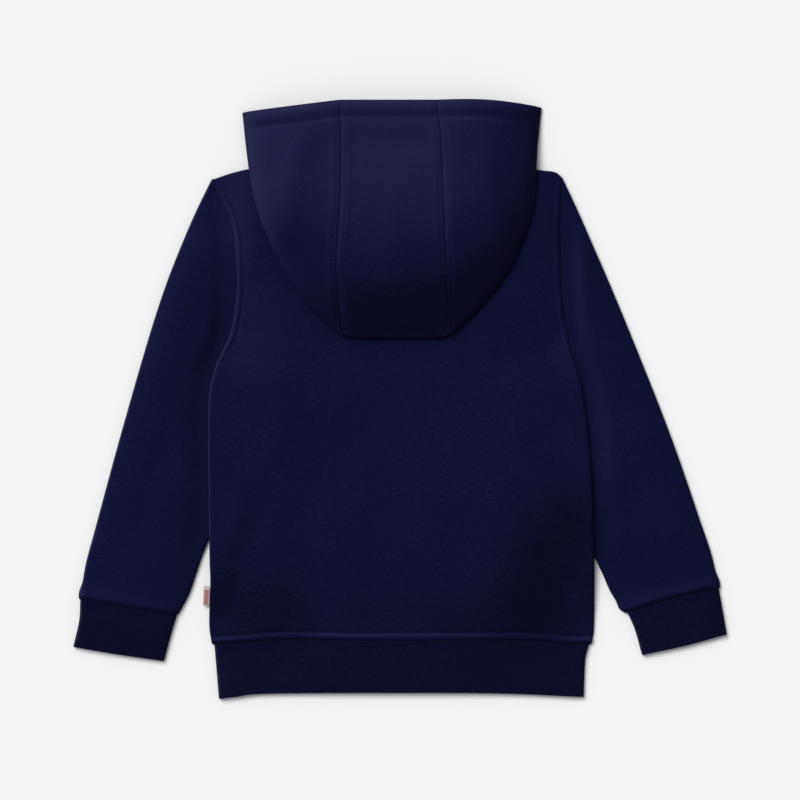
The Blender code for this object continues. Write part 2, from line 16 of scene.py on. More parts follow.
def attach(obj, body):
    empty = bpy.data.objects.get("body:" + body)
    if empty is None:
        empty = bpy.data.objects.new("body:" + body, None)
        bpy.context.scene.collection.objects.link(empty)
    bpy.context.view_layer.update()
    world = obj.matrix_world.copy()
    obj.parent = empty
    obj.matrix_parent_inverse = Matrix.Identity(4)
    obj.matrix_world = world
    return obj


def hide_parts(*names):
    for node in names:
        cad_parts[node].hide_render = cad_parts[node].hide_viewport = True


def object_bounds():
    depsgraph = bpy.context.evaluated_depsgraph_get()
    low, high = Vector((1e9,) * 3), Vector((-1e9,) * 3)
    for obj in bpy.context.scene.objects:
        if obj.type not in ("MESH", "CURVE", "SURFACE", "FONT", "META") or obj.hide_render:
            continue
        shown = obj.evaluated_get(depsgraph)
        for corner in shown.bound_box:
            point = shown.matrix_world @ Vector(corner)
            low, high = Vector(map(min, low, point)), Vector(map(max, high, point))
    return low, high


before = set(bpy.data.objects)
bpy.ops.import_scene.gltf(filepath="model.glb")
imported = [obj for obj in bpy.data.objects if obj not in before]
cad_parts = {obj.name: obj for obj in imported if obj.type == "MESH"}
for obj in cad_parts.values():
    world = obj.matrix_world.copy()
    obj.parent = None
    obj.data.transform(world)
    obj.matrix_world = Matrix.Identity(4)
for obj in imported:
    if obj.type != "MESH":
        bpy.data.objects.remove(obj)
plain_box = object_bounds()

low, high = np.array(plain_box[0]), np.array(plain_box[1])
print("plain model, mm:", np.round((high - low) * 1000, 1))

# %% [markdown]
# ## Sizes of the cloth
# Fleece, rib and the air between two layers set how high everything lies. All of the sizes are in
# millimetres, because that is how a pattern cutter thinks, and only the last step before a mesh
# turns them into Blender's metres. The alternative, metres all through, hides small numbers such
# as a seam's groove behind zeros.
# %% Name the sizes
MM = 0.001
CLOTH, RIB, AIR, SEAM = 2.0, 2.4, 0.7, 0.35
FLOOR = CLOTH / 2  # middle of the layer that lies on the surface
LAYER = CLOTH + AIR
HEM_CENTRE, THROAT = (2.0, -269.5), (-6.5, 160.0)
ZIP_GAP, ZIP_RISE, BAND_MIDDLE = 4.8, 1.4, -245.0
SLIDER_Y, SLIDER_LIFT, SLIDER_REACH, SLIDER_FADE = 150.0, 3.8, 26.0, 80.0
TAB_LENGTH = 22.0
STITCH_IN = 3.7  # a topstitched row from its seam
AIR_INSIDE = 5.6
HOOD_AIR = 0.2  # more air below the hood than between two flat layers

# %% [markdown]
# ## Outlines of the pieces
# A pattern is a set of curves. Each curve here is a few points that a smooth line passes through,
# seen from above, with the wearer's left at -X. Drawing the pieces by hand in Edit Mode would give
# the same shapes, but a table can be read, checked and changed in one place.
# %% Draw the outlines
HEM = ((-173.5, -224.5), (-150, -223.2), (-115, -220.3), (-92, -220), (-37, -221.2), (0, -221),
       (110, -221), (138, -222.5), (157, -224.2), (176.5, -224))
BAND_END = ((-166.5, -275), (-151, -273), (-110, -269.8), (73.5, -269.5), (168.9, -273))
SIDES = {
    "left": {
        "sign": -1,
        "side": ((-173.5, -222.5), (-175.5, -205), (-174.4, -166), (-175.2, -135), (-176, -9),
                 (-171, 26), (-164, 43)),
        "armhole": ((-164, 43), (-155.5, 63.5), (-150, 103), (-152.5, 152), (-160, 177.5), (-173, 202.5)),
        "shoulder": ((-173, 202.5), (-143.5, 211.5), (-79, 223.5)),
        "back_neck": ((-79, 223.5), (-64.5, 215.5), (-38, 210), (-12, 209.5)),
        "front_neck": ((-79, 223.5), (-71, 204), (-57, 187), (-38, 173), (-12, 164)),
        "outer": ((-173, 202.5), (-191.5, 164.5), (-220, 92), (-253, -18.5), (-285, -136),
                  (-295.5, -177.5), (-294, -183)),
        "inner": ((-164, 43), (-165.5, 22), (-156, -2), (-145, -28), (-145, -54), (-162, -102),
                  (-176.5, -129.5), (-196, -184), (-205, -197.5)),
        "cuff_seam": ((-294, -183), (-250, -190.5), (-205, -197.5)),
        "cuff_end": ((-300.5, -227), (-262, -233.5), (-217, -240)),
        "cuff_outer": ((-294, -183), (-295, -202.5), (-300.5, -227)),
        "cuff_inner": ((-205, -197.5), (-210.5, -215.5), (-217, -240)),
        "cuff_ease": (2.2, 0.8),
        "opening_bow": 0,
        "band_side": ((-170.7, -224.5), (-166.5, -275)),
        "hidden_edge": ((-190, -150), (-162, -102), (-132.5, -38.5), (-126, -14.5), (-126, 70)),
        "hood_fold": ((-145, 264), (-140.5, 223.5), (-135, 189.5), (-124, 155.5), (-103, 115),
                      (-88.5, 93), (-70, 73.5), (-61.5, 66), (-53.5, 60)),
        "hood_seam": ((-55, 275), (-54, 240), (-54.5, 182), (-58, 122), (-54, 72), (-50.8, 60.5)),
        "hood_bow": ((-28, 250), (-70, 240)),
        "hood_under_seam": ((-38, 210), (-42.5, 138), (-52, 85), (-61.5, 66)),
    },
    "right": {
        "sign": 1,
        "side": ((176.5, -223), (178.5, -205), (178.5, -141), (175.5, -57), (167.5, 10), (157.5, 45)),
        "armhole": ((157.5, 45), (151, 78), (148, 110.5), (147, 165), (148.6, 193), (147.5, 205.5)),
        "shoulder": ((147.5, 205.5), (144, 208.8), (138.9, 210.4), (125, 212), (62.5, 222.5)),
        "back_neck": ((62.5, 222.5), (48, 215.5), (21.5, 210), (-3, 209.5)),
        "front_neck": ((62.5, 222.5), (55, 204), (41, 187), (23, 173), (-1, 164)),
        "outer": ((147.5, 205.5), (150, 198.8), (157.3, 186.2), (173, 151), (207, 72), (249.5, -35),
                  (286, -141), (295, -168.5), (293, -173)),
        "inner": ((157.5, 45), (155.5, 22), (145, -2), (134, -26), (135, -52), (157.5, -99.5),
                  (178.5, -143.5), (200.5, -189.5), (209, -195)),
        "cuff_seam": ((293, -173), (250, -182), (209, -195)),
        "cuff_end": ((300.5, -215.5), (262, -226), (222.5, -234.5)),
        "cuff_outer": ((293, -173), (296.5, -192.5), (300.5, -215.5)),
        "cuff_inner": ((209, -195), (216, -211.5), (222.5, -234.5)),
        "cuff_ease": (2.2, 3.8),
        "opening_bow": 3.2,
        "band_side": ((173.9, -224), (170.2, -240), (168.9, -273)),
        "hidden_edge": ((190, -165), (157.5, -99.5), (123.5, -38.5), (118, -14.5), (118, 70)),
        "hood_fold": ((130.2, 268.6), (128.1, 248.4), (126.4, 230), (125.4, 212.5), (122.4, 177.6), (109.1, 138),
                      (95.7, 113.2), (81, 94.8), (64.4, 76.4), (53, 66), (46.5, 60)),
        "hood_seam": ((34, 275), (38, 240), (40.6, 182), (43.2, 119.6), (43.4, 72), (43.2, 60.5)),
        "hood_bow": ((12, 250), (54, 240)),
        "hood_under_seam": ((21.5, 210), (31, 138), (43, 85), (53, 66)),
    },
}
print(sum(len(cut) for cut in SIDES.values()), "outlines")

# %% [markdown]
# ## From outlines to a grid of cloth
# A woven or knitted piece has threads that run two ways, so a grid of rows and columns describes
# it well. Four curves bound it, and the points between them are blended from those four, which
# is called a Coons patch. Box-modelling could follow the outline too, but its edges would not run
# along the cloth, and the grain, ribs and stitches would have nothing to follow.
# %% Curves and patches
CURVE_STEPS = 24  # between two stated points
EVENING_ROUNDS = 300


def curve(points, count):
    """count + 1 points, evenly spaced along a smooth curve through these."""
    points = np.array(points, float)
    ends = np.vstack([2 * points[0] - points[1], points, 2 * points[-1] - points[-2]])
    fine = []
    for k in range(1, len(ends) - 2):
        before, start, stop, after = ends[k - 1 : k + 3]
        for t in np.linspace(0, 1, CURVE_STEPS, endpoint=False):
            bend = 2 * before - 5 * start + 4 * stop - after
            twist = -before + 3 * start - 3 * stop + after
            fine.append(0.5 * (2 * start + (stop - before) * t + bend * t**2 + twist * t**3))
    return spaced(fine + [points[-1]], count)


def spaced(points, count, crowding=1.0):
    """count + 1 points along this polyline, evenly spaced or crowded toward its start."""
    points = np.array(points, float)
    run = np.concatenate([[0], np.cumsum(np.linalg.norm(np.diff(points, axis=0), axis=1))])
    places = run[-1] * np.linspace(0, 1, count + 1) ** crowding
    return np.stack([np.interp(places, run, points[:, k]) for k in range(points.shape[1])], axis=1)


def joined(*pieces):
    return np.vstack([pieces[0]] + [piece[1:] for piece in pieces[1:]])


def patch(start, end, left, right):
    """A grid of plan points: start and end are its first and last rows, left and right its sides."""
    across = np.linspace(0, 1, len(start))[None, :, None]
    along = np.linspace(0, 1, len(left))[:, None, None]
    ruled = (1 - along) * start[None] + along * end[None]
    ruled_left, ruled_right = left[:, None] - ruled[:, :1], right[:, None] - ruled[:, -1:]
    return ruled + (1 - across) * ruled_left + across * ruled_right


def relaxed(plan):
    """The grid with its inner points evened out, so that no row folds over the next at a corner."""
    for _ in range(EVENING_ROUNDS):
        down = (plan[2:, 1:-1] - plan[:-2, 1:-1]) / 2
        over = (plan[1:-1, 2:] - plan[1:-1, :-2]) / 2
        along, across = (np.sum(step**2, axis=2, keepdims=True) for step in (down, over))
        skew = np.sum(down * over, axis=2, keepdims=True) / 2
        corners = plan[2:, 2:] - plan[2:, :-2] - plan[:-2, 2:] + plan[:-2, :-2]
        total = across * (plan[2:, 1:-1] + plan[:-2, 1:-1])
        total = total + along * (plan[1:-1, 2:] + plan[1:-1, :-2])
        plan[1:-1, 1:-1] = (total - skew * corners) / (2 * (along + across))
    return plan


def finer(plan, rows, columns):
    """The same plan with more rows and columns, each smooth through the old ones."""
    plan = np.stack([curve(line, rows) for line in plan.transpose(1, 0, 2)], axis=1)
    return np.stack([curve(line, columns) for line in plan], axis=0)


def moved(points, distance):
    """A plan curve moved sideways, to the left of its own direction."""
    along = np.gradient(points, axis=0)
    along /= np.linalg.norm(along, axis=1, keepdims=True)
    return points + distance * np.stack([-along[:, 1], along[:, 0]], axis=1)


def ramp(value, start, stop):
    """0 at start and 1 at stop, smoothly, either way round."""
    t = np.clip((value - start) / (stop - start), 0, 1)
    return t * t * (3 - 2 * t)


def unit(vectors):
    return vectors / np.maximum(np.linalg.norm(vectors, axis=-1, keepdims=True), 1e-9)


print("hem, mm:", round(float(np.linalg.norm(np.diff(curve(HEM, 100), axis=0), axis=1).sum())))

# %% [markdown]
# ## How high each layer lies
# Cloth that lies on cloth is lifted by it. The fronts lie on the surface, rise where a sleeve is
# tucked under them and where the zip's slider is, and the back lies on the fronts. A cloth
# simulation could find these heights, but it would also move the outlines, so they are stated.
# Soft troughs and ridges come on top. Each is one line of a table: where it is, which way it runs,
# how long, how wide and how deep.
# %% Heights and soft folds
TUCK_IN, TUCK_LOW, TUCK_HIGH = (-66, -14), (-212, -150), (80, 5)  # where a sleeve lifts the body
ZIP_FADE = (120, 13)
BODY_LOW, BODY_HIGH = -221, 228
AIR_FROM_LEFT, AIR_FROM_RIGHT, AIR_FROM_HEM, AIR_FROM_NECK = 80, 110, 110, 90
HOOD_PRESS, HOOD_PRESS_SIZE = (-6, 150), (118, 120)  # the hood presses the back down here


def centre_front(y):
    share = (y - HEM_CENTRE[1]) / (THROAT[1] - HEM_CENTRE[1])
    return HEM_CENTRE[0] + share * (THROAT[0] - HEM_CENTRE[0])


def over_sleeves(x, y):
    """How far the body is lifted, where a sleeve's inner edge lies under it."""
    lift = 0.0
    for cut in SIDES.values():
        edge = np.array(cut["hidden_edge"])
        inside = cut["sign"] * (x - np.interp(y, edge[:, 1], edge[:, 0]))
        lift = np.maximum(lift, ramp(inside, *TUCK_IN) * ramp(y, *TUCK_LOW) * ramp(y, *TUCK_HIGH))
    return 2 * LAYER * lift


def over_slider(x, y):
    distance = np.hypot(x - centre_front(SLIDER_Y), y - (SLIDER_Y - TAB_LENGTH / 3))
    return SLIDER_LIFT * ramp(distance, SLIDER_REACH + SLIDER_FADE, SLIDER_REACH)


def front_height(x, y):
    return FLOOR + over_sleeves(x, y) + over_slider(x, y)


def over_zip(x, y):
    return ZIP_RISE * ramp(np.abs(x - centre_front(y)), *ZIP_FADE)


def air_inside(x, y):
    """The back stands up a little on the air and the layers inside, and sinks toward its edges."""
    edges = (np.array(cut["side"] + cut["armhole"][1:]).T[::-1] for cut in SIDES.values())
    left, right = (np.interp(y, *edge) for edge in edges)
    share = 1.0
    for distance, reach in (
        (x - left, AIR_FROM_LEFT), (right - x, AIR_FROM_RIGHT),
        (y - BODY_LOW, AIR_FROM_HEM), (BODY_HIGH - y, AIR_FROM_NECK),
    ):
        share = share * (1 - (1 - np.clip(distance / reach, 0, 1)) ** 2)
    from_press = np.hypot((x - HOOD_PRESS[0]) / HOOD_PRESS_SIZE[0], (y - HOOD_PRESS[1]) / HOOD_PRESS_SIZE[1])
    return AIR_INSIDE * share * (0.8 + 0.2 * ramp(from_press, 0.4, 1.4))


def back_height(x, y):
    """Whatever holds the back up most decides. The fifth powers soften the change to the next."""
    held = over_sleeves(x, y) ** 5 + air_inside(x, y) ** 5 + over_zip(x, y) ** 5
    return FLOOR + LAYER + over_slider(x, y) + held**0.2


def on_back(x, y):
    """The middle of a layer that lies on the back."""
    return back_height(x, y) + LAYER + HOOD_AIR


def soft_folds(x, y, table):
    """The sum of soft ridges and troughs: (x, y, turn in degrees, length, width, height)."""
    total = np.zeros_like(x)
    for at_x, at_y, turn, length, width, height in table:
        c, s = math.cos(math.radians(turn)), math.sin(math.radians(turn))
        along = (x - at_x) * c + (y - at_y) * s
        across = (y - at_y) * c - (x - at_x) * s
        total += height * np.exp(-((across / width) ** 2)) * ramp(np.abs(along), length / 2, length / 6)
    return total


BACK_FOLDS = (
    (-143, 165, 98, 130, 13, 0.8),
    (92, -90, -58, 240, 40, 1.6),
    (20, -60, 86, 260, 36, 0.7),
    (-85, -110, 80, 210, 30, -0.7),
    (-150, -120, 87, 150, 13, 0.6),
    (118, 60, 98, 150, 20, 0.6),
)
print("back over the zip, mm:", round(float(back_height(centre_front(0.0), 0.0)), 1))

# %% [markdown]
# ## A cloth piece
# A grid gives the middle of a wall. Its points are set in rows, its doubles are merged where a tube
# closes on itself, and two modifiers finish it: Solidify gives the thickness and Bevel rounds the
# cut edges. The grid's own UV map, scaled to metres, carries the knit's direction to the material,
# which plain Object coordinates could not do on a sleeve that lies at a slant.
# %% Make cloth from a grid
def normals_of(grid):
    """The direction that faces out of each point of a grid."""
    down, over = np.gradient(grid, axis=0), np.gradient(grid, axis=1)
    return unit(np.cross(over, down))


def lengths(grid, axis):
    """How far each point is along its row (axis 1) or column (axis 0)."""
    steps = np.linalg.norm(np.diff(grid, axis=axis), axis=2)
    pad = [(0, 0), (0, 0)]
    pad[axis] = (1, 0)
    return np.pad(np.cumsum(steps, axis=axis), pad)


def cut_size(grid):
    """The widest row, the longest column and the area of the flat piece, in metres."""
    across = np.cross(grid[1:, 1:] - grid[:-1, :-1], grid[1:, :-1] - grid[:-1, 1:])
    area = float(np.linalg.norm(across, axis=2).sum()) / 2
    return float(lengths(grid, 1).max()) * MM, float(lengths(grid, 0).max()) * MM, area * MM * MM


# Painted light and shade in the cloth's colour: the way toward the key light in plan, how much a slope lightens
# or darkens the colour, and its limits.
PAINTED_LIGHT_WAY, PAINTED_SHADE_DEPTH, PAINTED_SHADE_RANGE = np.array((-0.66, 0.75, 0.0)), 1.8, (0.45, 1.7)
# Patches of painted light and shade (x, y, turn, length, width, change); the last three are painted shadows
# along the hood's lower edges.
PAINTED_SHADE_PATCHES = (
    (140, -150, 66, 210, 40, -0.50), (-140, -190, 0, 160, 32, -0.30),
    (-150, 172, 70, 130, 26, 0.20), (40, -205, 0, 260, 24, -0.10),
    (-8, 205, 0, 250, 62, 0.20), (0, 84, 0, 190, 30, -0.32), (-90, 140, 74, 150, 26, -0.10),
    (-8, 264, 0, 320, 14, 0.20), (-130, -250, 0, 160, 30, 0.08),
    (-8, 236, 0, 130, 26, 0.08), (-222, 10, 72, 440, 60, -0.06), (-82, 130, -55, 130, 22, -0.12),
    (-3, 57.5, 0, 118, 3.2, -0.42), (82, 96, 47, 110, 3, -0.26), (-80, 86, -49, 90, 3, -0.20),
)


def painted_shade_of(grid, facing):
    """Painted light and shade: paler where the cloth slopes toward the key light on the upper left, darker where
    it slopes away, with painted patches on top.
    """
    slope = normals_of(grid) @ PAINTED_LIGHT_WAY * facing
    patches = soft_folds(grid[..., 0], grid[..., 1], PAINTED_SHADE_PATCHES)
    return np.clip(1 + PAINTED_SHADE_DEPTH * slope + patches, *PAINTED_SHADE_RANGE)


def placed(name, bm, material):
    """An object in the scene, made from this mesh."""
    mesh = bpy.data.meshes.new(name)
    bm.to_mesh(mesh)
    bm.free()
    mesh.materials.append(material)
    piece = bpy.data.objects.new(name, mesh)
    bpy.context.collection.objects.link(piece)
    return piece


def cloth(name, grid, thickness, material, rounding=0.7, facing=1, lie=None):
    rows, columns = grid.shape[:2]
    wide, long, area = cut_size(grid)
    bm = bmesh.new()
    # Each point keeps its painted light and shade: a scale for the colour, worked out from how its form faces
    # the key light.
    layer = bm.verts.layers.float.new("painted_shade")
    shades = painted_shade_of(grid if lie is None else lie, facing)
    bm.loops.layers.uv.new("knit")
    bmesh.ops.create_grid(bm, x_segments=columns - 1, y_segments=rows - 1, size=1, calc_uvs=True)
    for vert, place, shade in zip(bm.verts, grid.reshape(-1, 3) * MM, shades.ravel()):
        vert.co = place
        vert[layer] = shade
    bmesh.ops.remove_doubles(bm, verts=bm.verts, dist=1e-6)
    piece = placed(name, bm, material)
    piece.data.shade_smooth()
    knit = piece.data.uv_layers["knit"].data
    places = np.empty(len(knit) * 2, np.float32)
    knit.foreach_get("uv", places)
    knit.foreach_set("uv", (places.reshape(-1, 2) * (wide, long)).astype(np.float32).ravel())
    wall = piece.modifiers.new("wall", "SOLIDIFY")
    wall.thickness, wall.offset = thickness * MM, 0
    if rounding:
        edge = piece.modifiers.new("edge", "BEVEL")
        edge.width, edge.segments, edge.angle_limit = rounding * MM, 3, math.radians(50)
        edge.limit_method = "ANGLE"
    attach(piece, "garment")
    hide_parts(name.removesuffix("_cloth"))
    size = f"{wide / MM:.0f} x {long / MM:.0f} mm, {area * 1e4:.0f} cm2"
    print(f"{name}: {rows} x {columns} points, cut {size}")


# %% [markdown]
# ## What sewing does to an edge
# A seam is two edges turned in and pressed. The turned edge dips, the allowance under it makes a
# low ridge, and each topstitched row pulls a fine groove. All of that is one height profile over
# the distance from the seam, so a few points describe each kind of seam and one function serves
# them all. Sculpting each would take far longer and would not stay even.
# %% Press the seams
RELIEF_IN_PAINTED_SHADE = 0.5  # how much of a seam's relief also shows in the painted shade
TWIN_SEAM = ((0, -0.8), (0.9, -0.2), (1.9, 0.15), (2.8, 0), (3.7, -0.35), (4.7, 0.05), (6.2, 0.2), (10, 0))
ARMHOLE_SEAM = ((0, -1.1), (1, -0.2), (2.4, 0.45), (4.4, 0.55), (5.6, 0.1), (6.6, -0.7), (8.2, 0), (10, 0))
HEM_SEAM = ((0, -1), (0.8, 0.4), (1.7, 1.1), (2.7, 1.3), (3.7, 1.1), (4.7, 0.5), (5.7, -0.5), (6.2, -0.9),
            (7, -1), (8.6, 0.1), (11, 0))
SLEEVE_END = ((0, -1.2), (0.9, 0.7), (2.2, 1.9), (4, 2.1), (8, 1.3), (14, 0.4), (22, 0))
SLEEVE_HEAD = ((0, -1), (1.8, 0), (5, 0.35), (9, 0))
OPENING_EDGE = ((0, -0.8), (2.4, 0.4), (5.5, 1.1), (8.5, 1.1), (15.8, -0.45), (18, 0), (20, 0))


def pressed(distance, profile):
    """The height of a sewn edge, this far in from its seam."""
    line = curve(profile, 80)
    return np.interp(distance, line[:, 0], line[:, 1])


def line_at(grid, axis, distance, from_end=False):
    """Points and facings along a line that keeps this distance from one edge of a grid."""
    both = np.concatenate([grid, normals_of(grid)], axis=2)
    both = both if axis == 1 else both.transpose(1, 0, 2)
    both = both[:, ::-1] if from_end else both
    run = lengths(both[..., :3], 1)
    return np.array([[np.interp(distance, r, b[:, k]) for k in range(6)] for r, b in zip(run, both)])


def sewn(grid, relief, lie=None):
    """Raises a grid by its seams' relief. Gives back the softer form that its painted light and shade is worked
    out from.
    """
    lie = grid.copy() if lie is None else lie
    grid[..., 2] += relief
    lie[..., 2] += relief * RELIEF_IN_PAINTED_SHADE
    return lie


stitched_rows = []  # kept for the sewing step below
print("longest seam profile, points:", len(HEM_SEAM))

# %% [markdown]
# ## Shader shorthand
# A material is a graph of nodes. Written out link by link it hides what it does, so a small class
# wraps a socket and lets Python's own + and * add the Math nodes. Any other node comes from one
# method that takes its type, its settings and its inputs.
# %% Wrap sockets
class Strand:
    """One socket of a material's graph."""

    def __init__(self, finish, socket):
        self.finish, self.socket = finish, socket

    def __add__(self, other):
        return self.finish.node("Math", {"operation": "ADD"}, {0: self, 1: other})

    def __mul__(self, other):
        return self.finish.node("Math", {"operation": "MULTIPLY"}, {0: self, 1: other})


class Finish:
    """A material, with its graph written as expressions."""

    def __init__(self, name, **shader):
        self.material = bpy.data.materials.new(name)
        self.material.use_nodes = True
        self.graph = self.material.node_tree
        self.shader = self.graph.nodes["Principled BSDF"]
        for socket, value in shader.items():
            self.shader.inputs[socket.replace("_", " ")].default_value = value

    def plug(self, socket, value):
        if isinstance(value, Strand):
            self.graph.links.new(value.socket, socket)
        else:
            socket.default_value = value

    def node(self, kind, settings, inputs, out=0):
        added = self.graph.nodes.new("ShaderNode" + kind)
        for key, value in settings.items():
            setattr(added, key, value)
        for key, value in inputs.items():
            self.plug(added.inputs[key], value)
        return Strand(self, added.outputs[out])

    def ramp(self, value, stops):
        added = self.graph.nodes.new("ShaderNodeMapRange")
        added.interpolation_type = "SMOOTHSTEP"
        self.plug(added.inputs["Value"], value)
        for socket, number in zip(("From Min", "From Max", "To Min", "To Max"), stops):
            added.inputs[socket].default_value = number
        return Strand(self, added.outputs[0])

    def in_space(self):
        """Object coordinates, in metres."""
        return self.node("TexCoord", {}, {}, out=3)

    def on_knit(self):
        """The cloth's own coordinates: across and along its knit, in metres."""
        return self.node("UVMap", {"uv_map": "knit"}, {})

    def noise(self, where, scale, detail=2.0, stretch=(1, 1, 1)):
        spread = self.node("Mapping", {"vector_type": "POINT"}, {"Vector": where, "Scale": stretch})
        return self.node("TexNoise", {}, {"Vector": spread, "Scale": scale, "Detail": detail})

    def blend(self, share, first, second):
        """Two colours mixed by a share."""
        return self.node("Mix", {"data_type": "RGBA"}, {0: share, 6: first, 7: second}, out=2)

    def paint(self, **values):
        for socket, value in values.items():
            self.plug(self.shader.inputs[socket.replace("_", " ")], value)
        return self.material

    def bumps(self, height, distance, strength):
        return self.node("Bump", {}, {"Height": height, "Distance": distance, "Strength": strength})


print("shader shorthand ready")

# %% [markdown]
# ## Brushed fleece
# The outside of this cloth is fine jersey in a heathered yarn: dark fibres with a few paler ones,
# so it shows short streaks along the courses, with a soft fuzz over them. Image textures would
# give that look in one place only. Noise that is stretched along the knit's UV gives it on every
# piece at the same scale. The fuzz catches light at the rims, which is what Sheen is for.
# The cloth's colour is also scaled by painted light and shade, with a pale painted sheen mixed in where that
# painted light is strongest.
# %% Fleece and rib
NAVY_DEEP, NAVY_PALE = (0.0018, 0.0022, 0.0196, 1), (0.0052, 0.0057, 0.0351, 1)
RIB_DEEP, RIB_PALE = (0.0012, 0.0016, 0.0129, 1), (0.0037, 0.0042, 0.0242, 1)
# A pale painted sheen, mixed into the colour where the painted light is strongest.
PAINTED_SHEEN = (0.030, 0.031, 0.072, 1)


def knitted(name, deep, pale, rib_pitch=0.0):
    finish = Finish(name, Roughness=0.95, Sheen_Weight=0.05, Sheen_Roughness=0.5,
                    Sheen_Tint=(0.20, 0.22, 0.85, 1), Specular_IOR_Level=0.07)
    knit = finish.on_knit()
    streaks = finish.noise(knit, 1.0, 3.0, (190, 900, 1))
    fibres = finish.noise(knit, 1.0, 2.0, (1500, 2600, 1))
    patches = finish.noise(finish.in_space(), 16.0, 1.5)
    mottle = finish.noise(knit, 1.0, 2.0, (210, 340, 1))
    share = finish.ramp(streaks, (0.30, 0.72, 0.0, 0.62)) + finish.ramp(fibres, (0.3, 0.75, 0.0, 0.38))
    share = share * finish.ramp(patches, (0.3, 0.7, 0.80, 1.15))
    share = share * finish.ramp(mottle, (0.35, 0.65, 0.70, 1.30))
    painted_shade = finish.node("Attribute", {"attribute_name": "painted_shade"}, {}, out=2)
    height = fibres * 0.6 + streaks * 0.5
    if rib_pitch:
        across = finish.node("SeparateXYZ", {}, {0: knit})
        wave = finish.node("Math", {"operation": "SINE"}, {0: across * (2 * math.pi / rib_pitch)})
        # Painted shade: the colour is darker along the rib's grooves, on top of the bump that shapes them.
        share = share * (wave * 0.16 + 0.84)
        height = height * 0.5 + wave * 0.6
    yarn = finish.blend(share, deep, pale)
    # The yarn's colour is scaled by the painted light and shade, and the pale painted sheen is mixed in where it
    # is lit most.
    yarn_in_painted_shade = finish.node("VectorMath", {"operation": "SCALE"}, {0: yarn, "Scale": painted_shade})
    painted_sheen_share = finish.ramp(painted_shade, (1.0, PAINTED_SHADE_RANGE[1], 0.0, 0.42))
    return finish.paint(Base_Color=finish.blend(painted_sheen_share, yarn_in_painted_shade, PAINTED_SHEEN),
                        Normal=finish.bumps(height, 0.00035, 0.55))


fleece = knitted("fleece", NAVY_DEEP, NAVY_PALE)
rib = knitted("rib", RIB_DEEP, RIB_PALE, rib_pitch=0.00165)
print("finishes:", fleece.name, rib.name)

# %% [markdown]
# ## The back
# The back is one wide panel. Its sides and shoulders roll down over the fronts, its armhole edges
# are sewn to the sleeves, and its hem to the rib. Columns are packed close at the sides, because a
# roll of two millimetres needs several of them, while the middle gets by with one every two.
# %% Cut the back
ROLL = 2.2  # radius of a rolled edge
ROLL_STEPS = np.array((0.0, 0.12, 0.45, 1.0, 1.6, 2.2, 3.2, 4.4, 5.8, 7.4))
ROLL_IN_PAINTED_SHADE = 0.35  # how much of a roll also shows in the painted shade
SIDE_ROLLS = (60, 20)  # side edges are pulled in fully below the second, and not above the first
UNDERARM_ROLL = (72, 44)
ARMHOLE_BEGINS, ARMHOLE_ENDS = (34, 58), (204, 190)
SHOULDER_ROLL, SHOULDER_IN = (62, 80), 1.0
FOLDS_BEGIN = (-222, -190)
CORNER_REACH, CORNER_SHIFT = 9, (2.5, -1.5)


def along_rows(plan, columns):
    """The plan with each row read again at these places, given as (millimetres, share of the row)."""
    run = lengths(plan, 1)
    places = columns[None, :, 0] + columns[None, :, 1] * run[:, -1:]
    return np.array([
        [np.interp(place, r, row[:, k]) for k in range(plan.shape[2])]
        for place, r, row in zip(places, run, plan)
    ]).transpose(0, 2, 1)


def along_columns(plan, rows):
    return along_rows(plan.transpose(1, 0, 2), rows).transpose(1, 0, 2)


def packed_edges(steps, middle, both=True):
    """Places packed at the ends of a line, or at its start alone, and even between."""
    share = np.linspace(0, 1, middle + 2)[1:-1]
    inner = np.column_stack([steps[-1] * (1 - (2 if both else 1) * share), share])
    ends = np.column_stack([-steps[::-1], 1 + 0 * steps]) if both else np.array([[0.0, 1.0]])
    return np.vstack([np.column_stack([steps, 0 * steps]), inner, ends])


def rolled(distance):
    """How far an edge of this radius has dropped, this far in from its rim."""
    inside = np.clip(ROLL - distance, 0, ROLL)
    return ROLL - np.sqrt(ROLL**2 - inside**2)


def body_side(side, rows):
    """A side seam and its armhole, pulled in by half a wall where the edge rolls."""
    cut = SIDES[side]
    edge = joined(curve(cut["side"], rows[0]), curve(cut["armhole"], rows[1]))
    edge[:, 0] -= cut["sign"] * CLOTH / 2 * ramp(edge[:, 1], *SIDE_ROLLS)
    return edge


def eased_corner(plan, corner, sign):
    """The plan, moved a little out and down near a shoulder's inner end, where its cells crowd."""
    near = ramp(np.linalg.norm(plan - corner, axis=2), CORNER_REACH, 0)[..., None]
    return plan + near * (sign * CORNER_SHIFT[0], CORNER_SHIFT[1])


def cut_back(rows=(112, 86), shoulder=48, neck=42):
    hem = curve(HEM, 2 * (shoulder + neck)) + (0, SEAM / 2)
    left, right = body_side("left", rows), body_side("right", rows)
    hem[0], hem[-1] = left[0], right[0]
    tops = [joined(curve(cut["shoulder"], shoulder), curve(cut["back_neck"], neck)) for cut in SIDES.values()]
    top = np.vstack([tops[0][:-1], [(tops[0][-1] + tops[1][-1]) / 2], tops[1][:-1][::-1]])
    top[1:shoulder, 1] -= SHOULDER_IN
    top[-shoulder:-1, 1] -= SHOULDER_IN
    top[0], top[-1] = left[-1], right[-1]
    plan = patch(hem, top, left, right)
    corners = plan[-1, shoulder].copy(), plan[-1, -shoulder - 1].copy()
    for side, corner in zip(SIDES, corners):
        plan = eased_corner(plan, corner, SIDES[side]["sign"])
    plan = along_rows(plan, packed_edges(ROLL_STEPS, 2 * (shoulder + neck) - 12))
    return along_columns(plan, packed_edges(ROLL_STEPS, sum(rows) - 10))


def surface(plan, height):
    return np.dstack([plan, height(plan[..., 0], plan[..., 1])])


